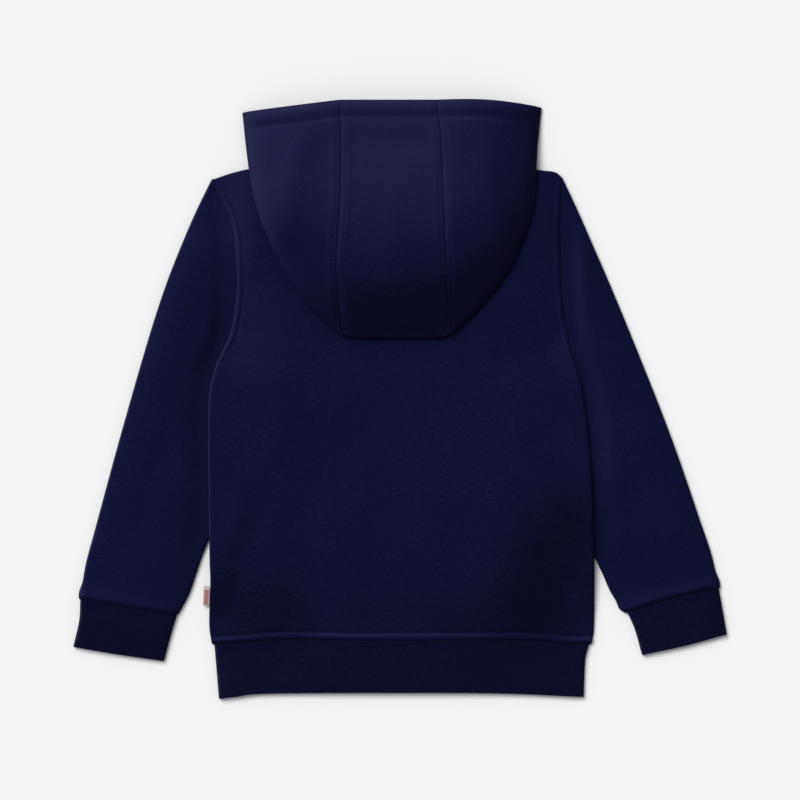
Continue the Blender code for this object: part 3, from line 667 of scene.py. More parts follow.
plan = cut_back()
grid = surface(plan, back_height)
x, y = plan[..., 0], plan[..., 1]
grid[..., 2] += soft_folds(x, y, BACK_FOLDS) * ramp(y, *FOLDS_BEGIN)
lie = grid.copy()
across, up = lengths(plan, 1), lengths(plan, 0)
from_side = np.minimum(across, across[:, -1:] - across)
from_hem, from_top = up, up[-1:] - up
at_side = ramp(y, *UNDERARM_ROLL)
on_shoulder = ramp(np.abs(x - centre_front(200.0)), *SHOULDER_ROLL)
grid[..., 2] -= rolled(from_side) * at_side
lie[..., 2] -= rolled(from_side) * at_side * ROLL_IN_PAINTED_SHADE
grid[..., 2] -= rolled(from_top) * on_shoulder
at_armhole = ramp(y, *ARMHOLE_BEGINS) * ramp(y, *ARMHOLE_ENDS)
relief = pressed(from_hem, HEM_SEAM) + pressed(from_side, ARMHOLE_SEAM) * at_armhole
lie = sewn(grid, relief, lie)
cloth("back", grid, CLOTH, fleece, lie=lie)
stitched_rows.append(line_at(grid, 0, HEM_SEAM[-3][0]))
for end in (False, True):
    line = line_at(grid, 1, ARMHOLE_SEAM[-3][0], end)
    stitched_rows.append(line[(line[:, 1] > 50) & (line[:, 1] < 206)])

# %% [markdown]
# ## The fronts
# Only their inside shows, through the neck, and their outside from below, so they need few rows.
# They keep the zip's width apart, and their side edges stop short of the back's rolled edge.
# %% Cut the fronts
FRONT_INSET = 3.8  # from the rolled edge of the back
FRONT_FOLDS = ((-90, -60, 70, 200, 24, 0.5), (95, 10, 104, 180, 22, 0.5))


def cut_front(side, rows=(44, 34), shoulder=22, neck=18):
    cut = SIDES[side]
    sign = cut["sign"]
    hem = curve(HEM, 200) + (0, SEAM / 2)
    hem = hem[sign * (hem[:, 0] - centre_front(-220.0)) > ZIP_GAP]
    hem = spaced(hem if side == "left" else hem[::-1], shoulder + neck)
    outer = joined(curve(cut["side"], rows[0]), curve(cut["armhole"], rows[1]))
    outer[:, 0] -= sign * FRONT_INSET * ramp(outer[:, 1], *SIDE_ROLLS)
    top = joined(curve(cut["shoulder"], shoulder), curve(cut["front_neck"], neck))
    top[-1, 0] = centre_front(top[-1, 1]) + sign * ZIP_GAP
    hem[0] = outer[0]
    hem[-1, 0] = centre_front(hem[-1, 1]) + sign * ZIP_GAP
    plan = patch(hem, top, outer, np.linspace(hem[-1], top[-1], sum(rows) + 1))
    return eased_corner(plan, top[shoulder], sign)


for side in SIDES:
    plan = cut_front(side)
    grid = surface(plan, front_height)
    grid[..., 2] += np.maximum(soft_folds(plan[..., 0], plan[..., 1], FRONT_FOLDS), 0)
    cloth(f"front_{side}", grid, CLOTH, fleece)

# %% [markdown]
# ## Sleeves, cuffs and the hem's rib are flattened tubes
# A sleeve that lies flat is two layers joined by a round fold at each side. Each row of the plan
# is read again at places that go along the under layer, round one fold, back over the upper layer
# and round the other. The upper layer is then padded a little by the air in the sleeve. A
# cylinder pressed flat would need its fold lines fixed by hand afterwards.
# %% Flatten a tube
def flattened(plan, thickness, middle, folds=7):
    """The wall's middle, round a flattened tube. Columns go under, then over."""
    low, high = thickness / 2, 1.5 * thickness + AIR
    turn = (high - low) / 2
    flat_from = thickness / 2 + turn
    angles = np.linspace(0, math.pi / 2, folds)
    share = np.linspace(0, 1, middle)[1:-1]
    rim = thickness / 2 + turn * (1 - np.cos(angles))
    drop = turn * np.sin(angles)
    centre = (low + high) / 2
    under = np.column_stack([flat_from * (1 - 2 * share), share, np.full(len(share), low)])
    near_low = np.column_stack([rim, 0 * rim, centre - drop])
    far_low = np.column_stack([-rim, 1 + 0 * rim, centre - drop])[::-1]
    far_high = np.column_stack([-rim, 1 + 0 * rim, centre + drop])[1:]
    near_high = np.column_stack([rim, 0 * rim, centre + drop])[::-1]
    over = under[::-1].copy()
    over[:, 2] = high
    columns = np.vstack([near_low, under, far_low, far_high, over, near_high])
    spread = along_rows(plan, columns[:, :2])
    return np.dstack([spread, np.broadcast_to(columns[:, 2], spread.shape[:2])]), columns[:, 2] > centre


def from_rims(grid, plan):
    """How far each point lies from the nearer long edge of its row's plan."""
    near = np.linalg.norm(grid[..., :2] - plan[:, :1], axis=2)
    far = np.linalg.norm(grid[..., :2] - plan[:, -1:], axis=2)
    return np.minimum(near, far)


def side_of_body(side, y):
    edge = joined(curve(SIDES[side]["side"], 60), curve(SIDES[side]["armhole"], 60))
    return np.interp(y, edge[:, 1], edge[:, 0])


# %% [markdown]
# ## The sleeves
# The part of a sleeve that the body covers stays thin and flat, and the rest is padded by up to
# two millimetres. Near the cuff the cloth is eased onto a narrower rib, so it makes a ridge there.
# %% Cut the sleeves
SLEEVE_PAD, PAD_ROUND, PAD_BEGINS = 2.2, 38, (2, 60)
PAD_AT_CUFF, PAD_FROM_CUFF = 0.35, 70
BEYOND_BODY, PAST_BODY, PAST_ARMHOLE, LIFT_FADE = (3, 26), (-2, 6), (8, 2), (26, 0)
EASE_AT, EASE_WIDTH = 5, 7  # from the cuff
SLEEVE_FOLDS = {
    "left": ((-215, 60, 74, 190, 18, 0.7), (-235, -90, 70, 170, 16, -0.6)),
    "right": ((205, 60, -66, 190, 18, -0.5), (252, -110, -72, 150, 17, 0.6)),
}


def cut_sleeve(side, rows=132, coarse=12, armhole_columns=9):
    cut = SIDES[side]
    armhole = moved(curve(cut["armhole"], armhole_columns), -cut["sign"] * SEAM)[::-1]
    armhole[0, 0] += cut["sign"] * 0.3
    outer, inner = curve(cut["outer"], coarse), curve(cut["inner"], coarse)
    seam = curve(cut["cuff_seam"], armhole_columns) + (0, SEAM / 2)
    outer[0], inner[0], outer[-1], inner[-1] = armhole[0], armhole[-1], seam[0], seam[-1]
    plan = finer(relaxed(patch(armhole, seam, outer, inner)), rows, 60)
    true = moved(curve(cut["armhole"], 60), -cut["sign"] * SEAM)[::-1]
    plan = plan + (true - plan[0])[None] * ((1 - np.linspace(0, 1, rows + 1)) ** 8)[:, None, None]
    from_cuff = lengths(plan, 0)
    from_cuff = from_cuff[-1:] - from_cuff
    share = np.linspace(0, 1, plan.shape[1])
    ease = cut["cuff_ease"][0] * (1 - share) ** 6 - cut["cuff_ease"][1] * share**6
    ease = ease * np.exp(-(((from_cuff - EASE_AT) / EASE_WIDTH) ** 2))
    plan = plan + unit(plan[:, :1] - plan[:, -1:]) * ease[..., None]
    return along_columns(plan, packed_edges(ROLL_STEPS, rows - 8))


for side in SIDES:
    sign = SIDES[side]["sign"]
    plan = cut_sleeve(side)
    grid, over = flattened(plan, CLOTH, 46)
    x, y = grid[..., 0], grid[..., 1]
    from_body = sign * (x - side_of_body(side, y))
    beyond = ramp(from_body, *BEYOND_BODY)
    inward = from_rims(grid, plan)
    down = lengths(grid, 0)
    from_armhole, from_cuff = down, down[-1:] - down
    pad = SLEEVE_PAD * (1 - (1 - np.clip(inward / PAD_ROUND, 0, 1)) ** 2)
    pad = pad + soft_folds(x, y, SLEEVE_FOLDS[side])
    near_cuff = PAD_AT_CUFF + (1 - PAD_AT_CUFF) * ramp(from_cuff, 0, PAD_FROM_CUFF)
    pad = pad * beyond * ramp(from_armhole, *PAD_BEGINS) * near_cuff
    # the body's edge is lifted where the sleeve goes under it, so the sewn edge rises with it
    outside = np.maximum(ramp(from_body, *PAST_BODY), ramp(from_armhole, *PAST_ARMHOLE))
    lift = np.maximum(over_sleeves(x, y) - ROLL * ramp(y, *UNDERARM_ROLL), 0)
    grid[..., 2] += np.where(over, pad, 0) + lift * ramp(from_armhole, *LIFT_FADE) * outside
    relief = pressed(from_armhole, SLEEVE_HEAD) * beyond + pressed(from_cuff, SLEEVE_END)
    lie = sewn(grid, np.where(over, relief, 0) * ramp(inward, 0.8, 4))
    cloth(f"sleeve_{side}", grid, CLOTH, fleece, facing=-sign, lie=lie)

# %% [markdown]
# ## Rib cuffs and hem band
# Rib is knitted double, so its end is a fold and its wall is thicker. The hem band runs from the
# zip round one side, over the back and round to the zip again.
# %% Cut the rib
RIB_PAD, RIB_FROM_SEAM, RIB_FROM_FOLD = 0.3, (4, 18), (0, 14)


def cut_cuff(side, rows=26):
    cut = SIDES[side]
    seam = curve(cut["cuff_seam"], 40) - (0, SEAM / 2)
    outer, inner = curve(cut["cuff_outer"], rows), curve(cut["cuff_inner"], rows)
    outer[0], inner[0] = seam[0], seam[-1]
    return patch(seam, curve(cut["cuff_end"], 40), outer, inner)


def rib_height(grid, over, inward):
    """Rib is pulled thin at its seam and folds over at its end."""
    down = lengths(grid, 0)
    pad = RIB_PAD * ramp(down, *RIB_FROM_SEAM) * ramp(inward, *RIB_FROM_FOLD)
    return np.where(over, pad, 0)


for side in SIDES:
    plan = cut_cuff(side)
    grid, over = flattened(plan, RIB, 40)
    grid[..., 2] += rib_height(grid, over, from_rims(grid, plan))
    cloth(f"cuff_{side}", grid, RIB, rib, rounding=0.4, facing=-SIDES[side]["sign"])

plan = patch(
    curve(HEM, 150) - (0, SEAM / 2), curve(BAND_END, 150),
    curve(SIDES["left"]["band_side"], 26), curve(SIDES["right"]["band_side"], 26),
)
grid, over = flattened(plan, RIB, 150)
middle = centre_front(BAND_MIDDLE)
grid[..., 2] += rib_height(grid, over, from_rims(grid, plan))
grid[..., 2] += np.where(over, ZIP_RISE * ramp(np.abs(grid[..., 0] - middle), *ZIP_FADE), 0)
under = np.flatnonzero(~over)
ends = grid[0, :, 0]
start = next(k for k in under if ends[k] > middle + ZIP_GAP)
stop = next(k for k in under if ends[k] > middle - ZIP_GAP)
grid = np.concatenate([grid[:, start:], grid[:, 1:stop]], axis=1)
cloth("hem_band", grid, RIB, rib, rounding=0.4)

# %% [markdown]
# ## The hood
# Three panels make it: a side panel each way and a strip between them that runs from the forehead
# over the crown to the nape. Laid over the back, each side panel is folded along its outer edge,
# with one layer below and one above. The under layer leaves the shoulders and steps up onto the
# back, so it is drawn coarse and then made finer, and the upper layer swells to its middle.
# %% Cut the hood's sides
HOOD_RISE = ((58, 12), (64, 15.4), (74, 20.2), (88, 24.8), (102, 27.5), (116, 28.6), (132, 28.8),
             (154, 28), (178, 26.2), (212, 22.8), (250, 18.6), (280, 15.4))
HOOD_ROUND, HOOD_FULLNESS = 80.0, 0.65
STEP_HEIGHT, STEP_RISES, STEP_BEGINS = 1.2, (268, 205), (188, 212)  # how the fold climbs onto the back
BOW_FADE = (70, 0)
FADE_FROM_SEAM = (0, 14)
STEP_OUT, STEP_FOOT = 1.6, 5.0
FLANK_ROWS, FALL_ROWS, UNDER_COLUMNS = 5, 10, 5
HOOD_ROWS = 120
OPENING_HEM = 16.5
HOOD_FOLDS = (
    (-100, 190, 80, 150, 14, 0.8), (-78, 120, -52, 90, 12, -0.9),
    (86, 190, 96, 150, 14, 0.8), (70, 112, 55, 80, 12, -0.8),
    (-8, 235, 3, 120, 16, -0.5), (-6, 150, 88, 120, 16, 0.5),
)
rise_line = curve(HOOD_RISE, 160)


def hood_height(y, low, from_fold):
    rise = np.interp(y, rise_line[:, 0], rise_line[:, 1])
    stacked = low + LAYER
    share = (1 - (1 - np.clip(from_fold / HOOD_ROUND, 0, 1)) ** 2) ** HOOD_FULLNESS
    return stacked + np.maximum(rise - stacked, 0) * share


def hood_under(side):
    """The under layer of a side panel, from the neck seam out to its fold."""
    cut = SIDES[side]
    sign = cut["sign"]
    neck_front = moved(curve(cut["front_neck"], FLANK_ROWS), -sign * SEAM)[::-1]
    under_seam = curve(cut["hood_under_seam"], UNDER_COLUMNS)
    back_neck = curve(cut["back_neck"], 40)
    back_neck = back_neck[sign * (back_neck[:, 0] - under_seam[0, 0]) > 0]
    neck_back = spaced(np.vstack([back_neck, under_seam[:1]]), FALL_ROWS)
    shoulder = curve(cut["shoulder"], 40)[::-1]
    fold = curve(cut["hood_fold"], 120)
    line_y = np.interp(sign * fold[:, 0], sign * shoulder[:, 0], shoulder[:, 1])
    fold_flank = spaced(fold[fold[:, 1] > line_y + STEP_FOOT], FLANK_ROWS)
    fold_fall = spaced(fold[fold[:, 1] < line_y - 4], FALL_ROWS)
    foot_line = spaced(shoulder[sign * (shoulder[:, 0] - fold_flank[-1, 0]) < 0], UNDER_COLUMNS, 2.8)
    inner_line = foot_line - (0, 4)
    inner_line[0], inner_line[-1] = neck_back[0], fold_fall[0]
    foot = foot_line + (0, STEP_FOOT)
    foot[0] = shoulder[0] + (-0.5 * sign, 1.3)
    fold_flank[-1] = foot[-1]
    bows = np.linspace(*cut["hood_bow"], FLANK_ROWS)[:, None]
    t = np.linspace(0, 1, UNDER_COLUMNS + 1)[None, :, None]
    near, far = neck_front[:-1, None], fold_flank[:-1, None]
    flank = (1 - t) ** 2 * near + 2 * t * (1 - t) * bows + t**2 * far
    flank = relaxed(np.concatenate([flank, foot[None]]))
    under_seam[0], under_seam[-1] = neck_back[-1], fold_fall[-1]
    fall = patch(inner_line, under_seam, neck_back, fold_fall)
    step = (foot_line + (0, STEP_OUT))[None]
    return np.concatenate([
        surface(flank, front_height),
        surface(step, lambda x, y: np.full_like(x, FLOOR + 2 * LAYER + HOOD_AIR)),
        surface(fall, on_back),
    ])


seam_heights = {}
for side in SIDES:
    cut = SIDES[side]
    sign = cut["sign"]
    under = finer(hood_under(side), HOOD_ROWS, 26)
    true_fold = curve(cut["hood_fold"], 300)[::-1]
    off = np.interp(under[:, -1, 1], true_fold[:, 1], true_fold[:, 0]) - under[:, -1, 0]
    under[..., 0] += off[:, None] * np.linspace(0, 1, under.shape[1]) ** 4
    eased = FLOOR + (2 * LAYER + STEP_HEIGHT) * ramp(under[:, -1, 1], *STEP_RISES)
    eased = (eased - under[:, -1, 2]) * ramp(under[:, -1, 1], *STEP_BEGINS)
    under[..., 2] += eased[:, None] * np.linspace(0, 1, under.shape[1]) ** 3
    under[..., 2] = np.maximum(under[..., 2], FLOOR)
    fold, fold_low = under[:, -1, :2], under[:, -1, 2]
    seam = curve(cut["hood_seam"], HOOD_ROWS) + (sign * SEAM / 2, 0)
    turn = LAYER / 2
    angles = np.linspace(-math.pi / 2, math.pi / 2, 11)
    rim = CLOTH / 2 + turn * (1 - np.cos(angles))
    share = np.linspace(0, 1, 46)[1:]
    at_fold, beyond = np.column_stack([rim, 0 * rim]), np.column_stack([rim[-1] * (1 - share), share])
    columns = np.vstack([at_fold, beyond])
    spread = along_rows(np.stack([fold, seam], axis=1), columns)
    from_fold = np.linalg.norm(spread - fold[:, None], axis=2)
    bow = cut["opening_bow"] * np.sin(np.pi * from_fold / from_fold.max(axis=1, keepdims=True))
    spread[..., 1] += bow * ramp(lengths(spread, 0), *BOW_FADE)
    heights = hood_height(spread[..., 1], fold_low[:, None], from_fold - rim[-1])
    heights[:, : len(angles)] = fold_low[:, None] + turn * (1 + np.sin(angles))
    upper = np.dstack([spread, heights])
    seam_heights[side] = heights[:, -1]
    grid = np.concatenate([under[:, :-1], upper], axis=1)
    grid = along_columns(grid, packed_edges(ROLL_STEPS, HOOD_ROWS - 6, both=False))
    x, y = grid[..., 0], grid[..., 1]
    across = lengths(grid, 1)
    from_seam = across[:, -1:] - across
    over = np.arange(grid.shape[1]) >= under.shape[1] + len(angles) // 2
    grid[..., 2] += np.where(over, soft_folds(x, y, HOOD_FOLDS) * ramp(from_seam, *FADE_FROM_SEAM), 0)
    relief = pressed(from_seam, TWIN_SEAM) + pressed(lengths(grid, 0), OPENING_EDGE)
    relief = relief * ramp(across - across[:, [under.shape[1] + len(angles) // 2]], 0, 6)
    lie = sewn(grid, np.where(over, relief, 0))
    cloth(f"hood_{side}", grid, CLOTH, fleece, facing=sign, lie=lie)
    stitched_rows.append(line_at(grid, 1, STITCH_IN, True))
    stitched_rows.append(line_at(grid[:, over], 0, OPENING_HEM))

# %% [markdown]
# ## The middle strip
# Its edges take their heights from the side panels' seams, so the sewn edges meet, and between
# them it swells to the hood's full height. At the crown one smooth curve turns it under. A half
# circle would be simpler, but it could not join two layers that slope.
# %% Cut the middle strip
CROWN_REACH, CROWN_GAP, CROWN_FADE = 7.0, 6.0, (16, 6)
seams = [curve(SIDES[side]["hood_seam"], HOOD_ROWS) for side in SIDES]
unders = [curve(SIDES[side]["hood_under_seam"], 50)[::-1] for side in SIDES]
for sign, seam, under in zip((1, -1), seams, unders):
    seam[:, 0] += sign * SEAM
    under[:, 0] += sign * (SEAM + CROWN_GAP * ramp(under[:, 1], 96, 70))
shares = np.linspace(0, 1, 50)[None, :, None]
top = seams[0][:, None] * (1 - shares) + seams[1][:, None] * shares
across_share = shares[..., 0]
edge = seam_heights["left"][:, None] * (1 - across_share) + seam_heights["right"][:, None] * across_share
rise = np.interp(top[..., 1], rise_line[:, 0], rise_line[:, 1])
swell = 1 - (2 * across_share - 1) ** 2
top = np.dstack([top, edge + np.maximum(rise - edge, 0) * swell**0.7])
under = unders[0][:, None] * (1 - shares) + unders[1][:, None] * shares
under = surface(under, on_back)
t = np.linspace(0, 1, 22)[1:-1, None, None]
reach = CROWN_REACH * (0.5 + 0.5 * swell[-1:, :, None] ** 0.4)
leave = top[-1:] + unit(top[-1:] - top[-3:-2]) * reach
arrive = under[:1] - (0, 1, 0) * reach
crown = (1 - t) ** 3 * top[-1:] + 3 * t * (1 - t) ** 2 * leave
crown = crown + 3 * t**2 * (1 - t) * arrive + t**3 * under[:1]
grid = np.concatenate([top, crown, under])
grid = along_columns(grid, packed_edges(ROLL_STEPS, len(grid) - 10, both=False))
across = lengths(grid, 1)
from_seam = np.minimum(across, across[:, -1:] - across)
down = lengths(grid, 0)
crown_at = float(lengths(top, 0)[-1].mean())
on_top = ramp(down - crown_at, *CROWN_FADE)
grid[..., 2] += soft_folds(grid[..., 0], grid[..., 1], HOOD_FOLDS) * ramp(from_seam, *FADE_FROM_SEAM) * on_top
lie = sewn(grid, (pressed(from_seam, TWIN_SEAM) + pressed(down, OPENING_EDGE)) * on_top)
cloth("hood_centre", grid, CLOTH, fleece, facing=-1, lie=lie)
upper_rows = int((down.mean(axis=1) < crown_at + 8).sum())
for end in (False, True):
    stitched_rows.append(line_at(grid, 1, STITCH_IN, end)[:upper_rows])
stitched_rows.append(line_at(grid, 0, OPENING_HEM))

# %% [markdown]
# ## The small label in the side seam
# A short tape is folded double and sewn into the side seam, so both leaves stick out beyond it. It
# is left without any words: a pale woven tape with a plain soft red block. One sheet runs out along
# the lower leaf, round the fold and back, so it is made as the real one is.
# %% Make the label
def wave(value, pitch):
    """A sine from 0 to 1 along a coordinate in metres, one period to a pitch in millimetres."""
    turns = value * (math.tau / (pitch * MM))
    return value.finish.node("Math", {"operation": "SINE"}, {0: turns}) * 0.5 + 0.5


def across_and_along(finish):
    knit = finish.on_knit()
    return [finish.node("SeparateXYZ", {}, {0: knit}, out=k) for k in (0, 1)]


def label_finish():
    finish = Finish("label", Roughness=0.85, Specular_IOR_Level=0.15)
    out, along = across_and_along(finish)
    weave = wave(along, 0.5)
    block = finish.ramp(along, (0.0008, 0.0014, 0, 1)) * finish.ramp(along, (0.0146, 0.0152, 1, 0))
    block = block * finish.ramp(out, (0.0071, 0.0077, 0, 1)) * finish.ramp(out, (0.0105, 0.0111, 1, 0))
    tape = finish.blend(weave, (0.50, 0.42, 0.42, 1), (0.60, 0.52, 0.52, 1))
    red = finish.blend(weave, (0.34, 0.155, 0.150, 1), (0.41, 0.19, 0.18, 1))
    return finish.paint(Base_Color=finish.blend(block, tape, red), Normal=finish.bumps(weave, 0.00008, 0.6))


LABEL_OUT, LABEL_SEAM, LABEL_LOW, LABEL_HIGH = 5.9, 0.35, -189.0, -171.0
LABEL_TAPE, LABEL_FOLD, LABEL_CURL = 0.36, 0.21, 0.8
seam_line = curve(SIDES["left"]["side"], 60)
out = np.linspace(LABEL_SEAM, LABEL_OUT - LABEL_FOLD, 12)
turn = np.linspace(-math.pi / 2, math.pi / 2, 7)[1:-1]
fold = np.concatenate([np.column_stack([out, np.full(12, -LABEL_FOLD)]),
                       np.column_stack([out[-1] + LABEL_FOLD * np.cos(turn), LABEL_FOLD * np.sin(turn)]),
                       np.column_stack([out[::-1], np.full(12, LABEL_FOLD)])])
rows = []
for y in np.linspace(LABEL_LOW, LABEL_HIGH, 25):
    rim = float(np.interp(y, seam_line[:, 1], seam_line[:, 0]))
    curl = LABEL_CURL * (fold[:, 0] / LABEL_OUT) ** 2 * math.cos((y - LABEL_LOW) / 6)
    level = back_height(rim, y) - ROLL + fold[:, 1] + curl
    rows.append(np.column_stack([rim - fold[:, 0], np.full(len(fold), y), level]))
cloth("side_label", np.array(rows), LABEL_TAPE, label_finish(), rounding=0)

# %% [markdown]
# ## The zip
# Two woven tapes lie under the edges of the fronts, and the chain between them is closed. Each
# tape is a narrow grid along the centre front, so the function that makes the panels makes it too.
# A flat strip would be simpler, but it would not follow the rise over the slider.
# %% Lay the tapes
TAPE_WIDTH, TAPE_THICK, TAPE_BOTTOM, TAPE_GAP = 13.0, 0.8, 2.8, 0.3
CHAIN_THICK, CHAIN_BOTTOM = 2.0, 0.4


def tape_finish():
    finish = Finish("zip tape", Roughness=0.85, Specular_IOR_Level=0.15)
    across, along = across_and_along(finish)
    twill = wave(across + along * 0.6, 0.9)
    navy = finish.blend(twill, (0.0030, 0.0034, 0.016, 1), (0.0065, 0.0070, 0.028, 1))
    return finish.paint(Base_Color=navy, Normal=finish.bumps(twill, 0.00012, 0.7))


ys = np.linspace(HEM_CENTRE[1], THROAT[1], 109)
xs = centre_front(ys)
heights = TAPE_BOTTOM + TAPE_THICK / 2 + over_slider(xs, ys)
woven = tape_finish()
for side in SIDES:
    sides = np.sort(SIDES[side]["sign"] * np.array((TAPE_GAP, TAPE_GAP + TAPE_WIDTH)))
    grid = np.stack([np.column_stack([xs + o, ys, heights]) for o in np.linspace(*sides, 10)], axis=1)
    cloth(f"zip_tape_{side}", grid, TAPE_THICK, woven, rounding=0.2)

# %% [markdown]
# ## The teeth
# A tooth is a small moulded block. A loop sets them out, left and right in turn, and one bevel
# rounds them all. An array modifier could repeat them, but it would keep to a straight line.
# %% Set out the teeth
def hard(name, bm, material, body):
    """Finishes a mesh that was built in millimetres, in place of the plain node of the same name."""
    bmesh.ops.scale(bm, vec=(MM, MM, MM), verts=bm.verts)
    piece = placed(name, bm, material)
    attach(piece, body)
    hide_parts(name.removesuffix("_detail"))
    print(name, len(piece.data.polygons), "faces")


def block(bm, low, high):
    """A box between two corners."""
    low, high = np.array(low), np.array(high)
    place = Matrix.Translation((low + high) / 2) @ Matrix.Diagonal((*(high - low), 1))
    bmesh.ops.create_cube(bm, size=1, matrix=place)


def rounded(bm, edges, width, segments):
    bmesh.ops.bevel(bm, geom=edges, offset=width, offset_type="OFFSET", affect="EDGES",
                    segments=segments, profile=0.5, material=-1)


def enamel(name, deep, pale, gloss):
    finish = Finish(name, Specular_IOR_Level=0.5)
    place = finish.in_space()
    worn = finish.noise(place, 260.0, 4.0)
    return finish.paint(Base_Color=finish.blend(worn, deep, pale),
                        Roughness=finish.ramp(worn, (0.3, 0.7, *gloss)),
                        Normal=finish.bumps(finish.noise(place, 1800.0), 0.00002, 0.5))


TOOTH_PITCH, TOOTH_BACK, TOOTH_REACH, TOOTH_HALF, TOOTH_EDGE = 2.5, 0.9, 2.55, 0.56, 0.16
bm = bmesh.new()
places = np.arange(HEM_CENTRE[1] + 1.5, THROAT[1] - 1, TOOTH_PITCH / 2)
for k, y in enumerate(places):
    x = float(centre_front(y))
    low = CHAIN_BOTTOM + float(over_slider(x, y))
    way = 1 if k % 2 else -1
    ends = sorted((x - way * TOOTH_BACK, x + way * TOOTH_REACH))
    block(bm, (ends[0], y - TOOTH_HALF, low), (ends[1], y + TOOTH_HALF, low + CHAIN_THICK))
rounded(bm, bm.edges[:], TOOTH_EDGE, 1)
print(len(places), "teeth")
resin = enamel("zip teeth", (0.006, 0.007, 0.030, 1), (0.012, 0.013, 0.046, 1), (0.38, 0.5))
hard("zip_teeth_detail", bm, resin, "garment")

# %% [markdown]
# ## The slider and its tab
# The slider is a plate with a wall on each side, and two lugs hold the pin that the tab hangs on.
# The tab's knuckle is a ring, spun from a small rectangle, and the pin runs through it with room
# to turn. Booleans could join the blocks, but a bevel on each block first keeps every edge soft.
# %% Make the slider and the tab
PIN = np.array((centre_front(SLIDER_Y), SLIDER_Y, 1.5))
PIN_RADIUS = 0.5
SLIDER_HALF, PLATE_LOW, PLATE_HIGH, SLIDER_EDGE = 5.5, 1.4, 2.4, 0.25
WALL_IN, WALL_OUT, WALL_HIGH = 3.0, 4.0, 4.7
LUG_IN, LUG_OUT, LUG_REACH, LUG_DROP = 1.9, 2.9, 1.3, 0.9
TAB_HALF, TAB_THICK, TAB_NECK, TAB_CORNER, TAB_EDGE = 3.0, 1.0, 2.3, 2.0, 0.2
KNUCKLE_OUT, KNUCKLE_IN, KNUCKLE_HALF = 1.2, 0.7, 1.6
metal = enamel("zip metal", (0.010, 0.011, 0.042, 1), (0.020, 0.021, 0.062, 1), (0.28, 0.42))

bm = bmesh.new()
block(bm, (-WALL_OUT, -SLIDER_HALF, PLATE_LOW), (WALL_OUT, SLIDER_HALF, PLATE_HIGH))
for ends in ((-WALL_OUT, -WALL_IN), (WALL_IN, WALL_OUT)):
    block(bm, (ends[0], -SLIDER_HALF, PLATE_LOW + 0.2), (ends[1], SLIDER_HALF, WALL_HIGH))
for ends in ((-LUG_OUT, -LUG_IN), (LUG_IN, LUG_OUT)):
    block(bm, (ends[0], -LUG_REACH, -LUG_DROP), (ends[1], LUG_REACH, PLATE_LOW + 0.3))
rounded(bm, bm.edges[:], SLIDER_EDGE, 3)
bmesh.ops.create_cone(
    bm, cap_ends=True, segments=24, radius1=PIN_RADIUS, radius2=PIN_RADIUS, depth=2 * LUG_OUT - 0.4,
    matrix=Matrix.Rotation(math.pi / 2, 4, "Y"),
)
bmesh.ops.translate(bm, vec=PIN, verts=bm.verts)
hard("zip_slider_detail", bm, metal, "garment")

bm = bmesh.new()
block(bm, (-TAB_HALF, -TAB_LENGTH, -TAB_THICK / 2), (TAB_HALF, -TAB_NECK, TAB_THICK / 2))
upright = [edge for edge in bm.edges if abs(edge.verts[0].co.z - edge.verts[1].co.z) > 0.5]
rounded(bm, upright, TAB_CORNER, 8)
block(bm, (-KNUCKLE_HALF, -TAB_NECK - 1, -TAB_THICK / 2), (KNUCKLE_HALF, -0.85, TAB_THICK / 2))
sharp = [edge for edge in bm.edges if edge.calc_face_angle() > math.radians(60)]
rounded(bm, sharp, TAB_EDGE, 3)
ring = bmesh.ops.create_grid(bm, x_segments=1, y_segments=1, size=1)["verts"]
for vert in ring:
    radius = (KNUCKLE_OUT + KNUCKLE_IN) / 2 + vert.co.y * (KNUCKLE_OUT - KNUCKLE_IN) / 2
    vert.co = (vert.co.x * KNUCKLE_HALF, radius, 0)
faces = ring[0].link_faces[:]
bmesh.ops.spin(bm, geom=ring + list(faces[0].edges), cent=(0, 0, 0), axis=(1, 0, 0),
               angle=math.tau, steps=32, use_merge=True)
bmesh.ops.delete(bm, geom=faces, context="FACES_ONLY")
bmesh.ops.recalc_face_normals(bm, faces=bm.faces)
bmesh.ops.translate(bm, vec=PIN, verts=bm.verts)
hard("zip_pull_tab_detail", bm, metal, "pull_tab")

# %% [markdown]
# ## Topstitching
# Each stitch is a short thread that dives into the cloth at both ends. One low icosphere, pulled
# long, stands for it, and a loop lays a copy at every step of each row. They are joined in one
# mesh. A particle system or Geometry Nodes could scatter them too, but a plain loop keeps every
# stitch in line with its seam.
# %% Sew the stitches
STITCH, STITCH_PITCH, STITCH_SUNK = 2.3, 2.9, 0.18
THREAD, THREAD_FLAT = 0.34, 0.8


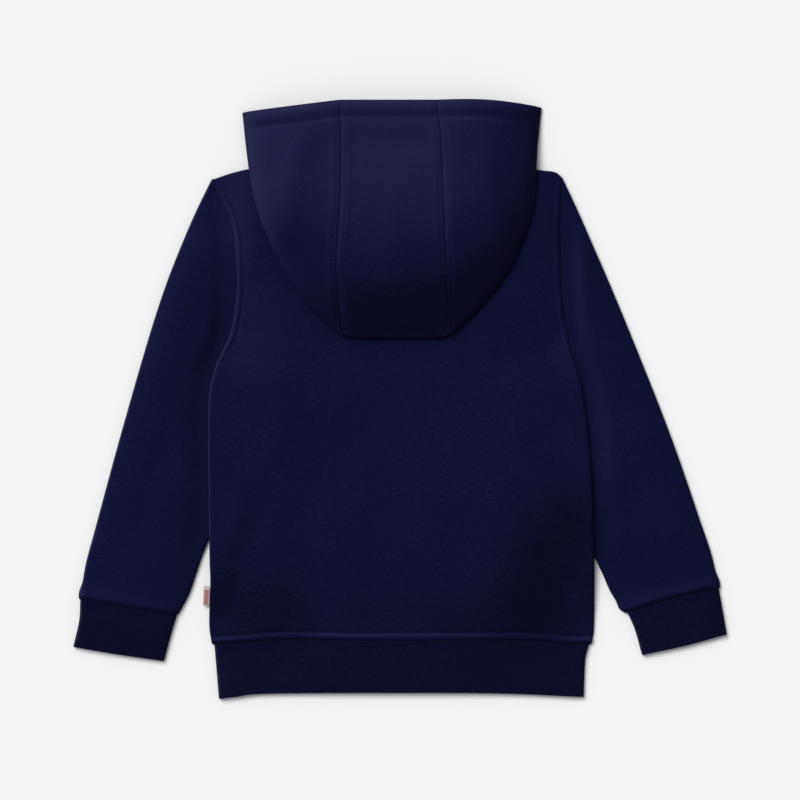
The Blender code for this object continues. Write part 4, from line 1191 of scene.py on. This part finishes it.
def sew(name, rows, material):
    bm = bmesh.new()
    count = 0
    for row in rows:
        run = np.concatenate([[0], np.cumsum(np.linalg.norm(np.diff(row[:, :3], axis=0), axis=1))])
        places = np.arange(STITCH_PITCH / 2, run[-1] - STITCH_PITCH / 2, STITCH_PITCH)
        at = np.stack([np.interp(places, run, row[:, k]) for k in range(6)], axis=1)
        ahead = np.stack([np.interp(places + 0.5, run, row[:, k]) for k in range(3)], axis=1)
        for here, there in zip(at, ahead):
            along = Vector(there - here[:3]).normalized()
            facing = Vector(here[3:])
            facing = (facing if facing.z > 0 else -facing).normalized()
            side = facing.cross(along).normalized()
            shape = along * STITCH / 2, side * THREAD, along.cross(side) * THREAD * THREAD_FLAT
            lie = Matrix(shape).transposed().to_4x4()
            lie.translation = Vector(here[:3]) + facing * (CLOTH / 2 - STITCH_SUNK)
            bmesh.ops.create_icosphere(bm, subdivisions=1, radius=1, matrix=Matrix.Scale(MM, 4) @ lie)
            count += 1
    piece = placed(name, bm, material)
    piece.data.shade_smooth()
    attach(piece, "garment")
    print(name, count, "stitches")


thread = Finish("thread", Roughness=0.75, Specular_IOR_Level=0.2)
twist = thread.noise(thread.in_space(), 2400.0, 1.0)
thread.paint(Base_Color=thread.blend(twist, (0.0030, 0.0034, 0.019, 1), (0.0058, 0.0062, 0.029, 1)))
sew("topstitching", stitched_rows, thread.material)

# %% [markdown]
# ## The stage
# A pale sheet under soft light. Part of the light comes from all round, and one wide, distant
# light on the upper left gives the cloth its shape. A sun with a wide angle does that evenly
# across the whole table, where a panel close by would leave one corner bright. Standard colour
# keeps a pale sheet pale and navy cloth dark, with no film curve between.
# %% Floor, light and camera
bm = bmesh.new()
bmesh.ops.create_grid(bm, x_segments=1, y_segments=1, size=4.0)
paper = Finish("paper", Roughness=0.9, Specular_IOR_Level=0.1)
tooth = paper.noise(paper.in_space(), 900.0, 2.0)
paper.paint(Base_Color=paper.blend(tooth, (0.90, 0.90, 0.90, 1), (0.915, 0.915, 0.915, 1)),
            Normal=paper.bumps(tooth, 0.00005, 0.2))
floor = placed("floor", bm, paper.material)

bpy.context.scene.view_settings.view_transform = "Standard"
world = bpy.data.worlds.new("studio")
bpy.context.scene.world = world
world.use_nodes = True
world.node_tree.nodes["Background"].inputs["Color"].default_value = (0.98, 0.985, 1.0, 1)
world.node_tree.nodes["Background"].inputs["Strength"].default_value = 0.38

lamp = bpy.data.lights.new("key", "SUN")
lamp.energy, lamp.angle = 2.52, math.radians(38)
key = bpy.data.objects.new("key", lamp)
key.location = (-2.4, 2.5, 4.4)
key.rotation_euler = (-key.location).to_track_quat("-Z", "Y").to_euler()
bpy.context.collection.objects.link(key)
HEIGHT, SEEN = 5.0, 0.736
camera = bpy.data.objects.new("camera", bpy.data.cameras.new("camera"))
camera.location = (0, 0, HEIGHT)
camera.data.sensor_width, camera.data.lens = 36, 36 * HEIGHT / SEEN
camera.data.clip_end = 50
bpy.context.collection.objects.link(camera)
bpy.context.scene.camera = camera
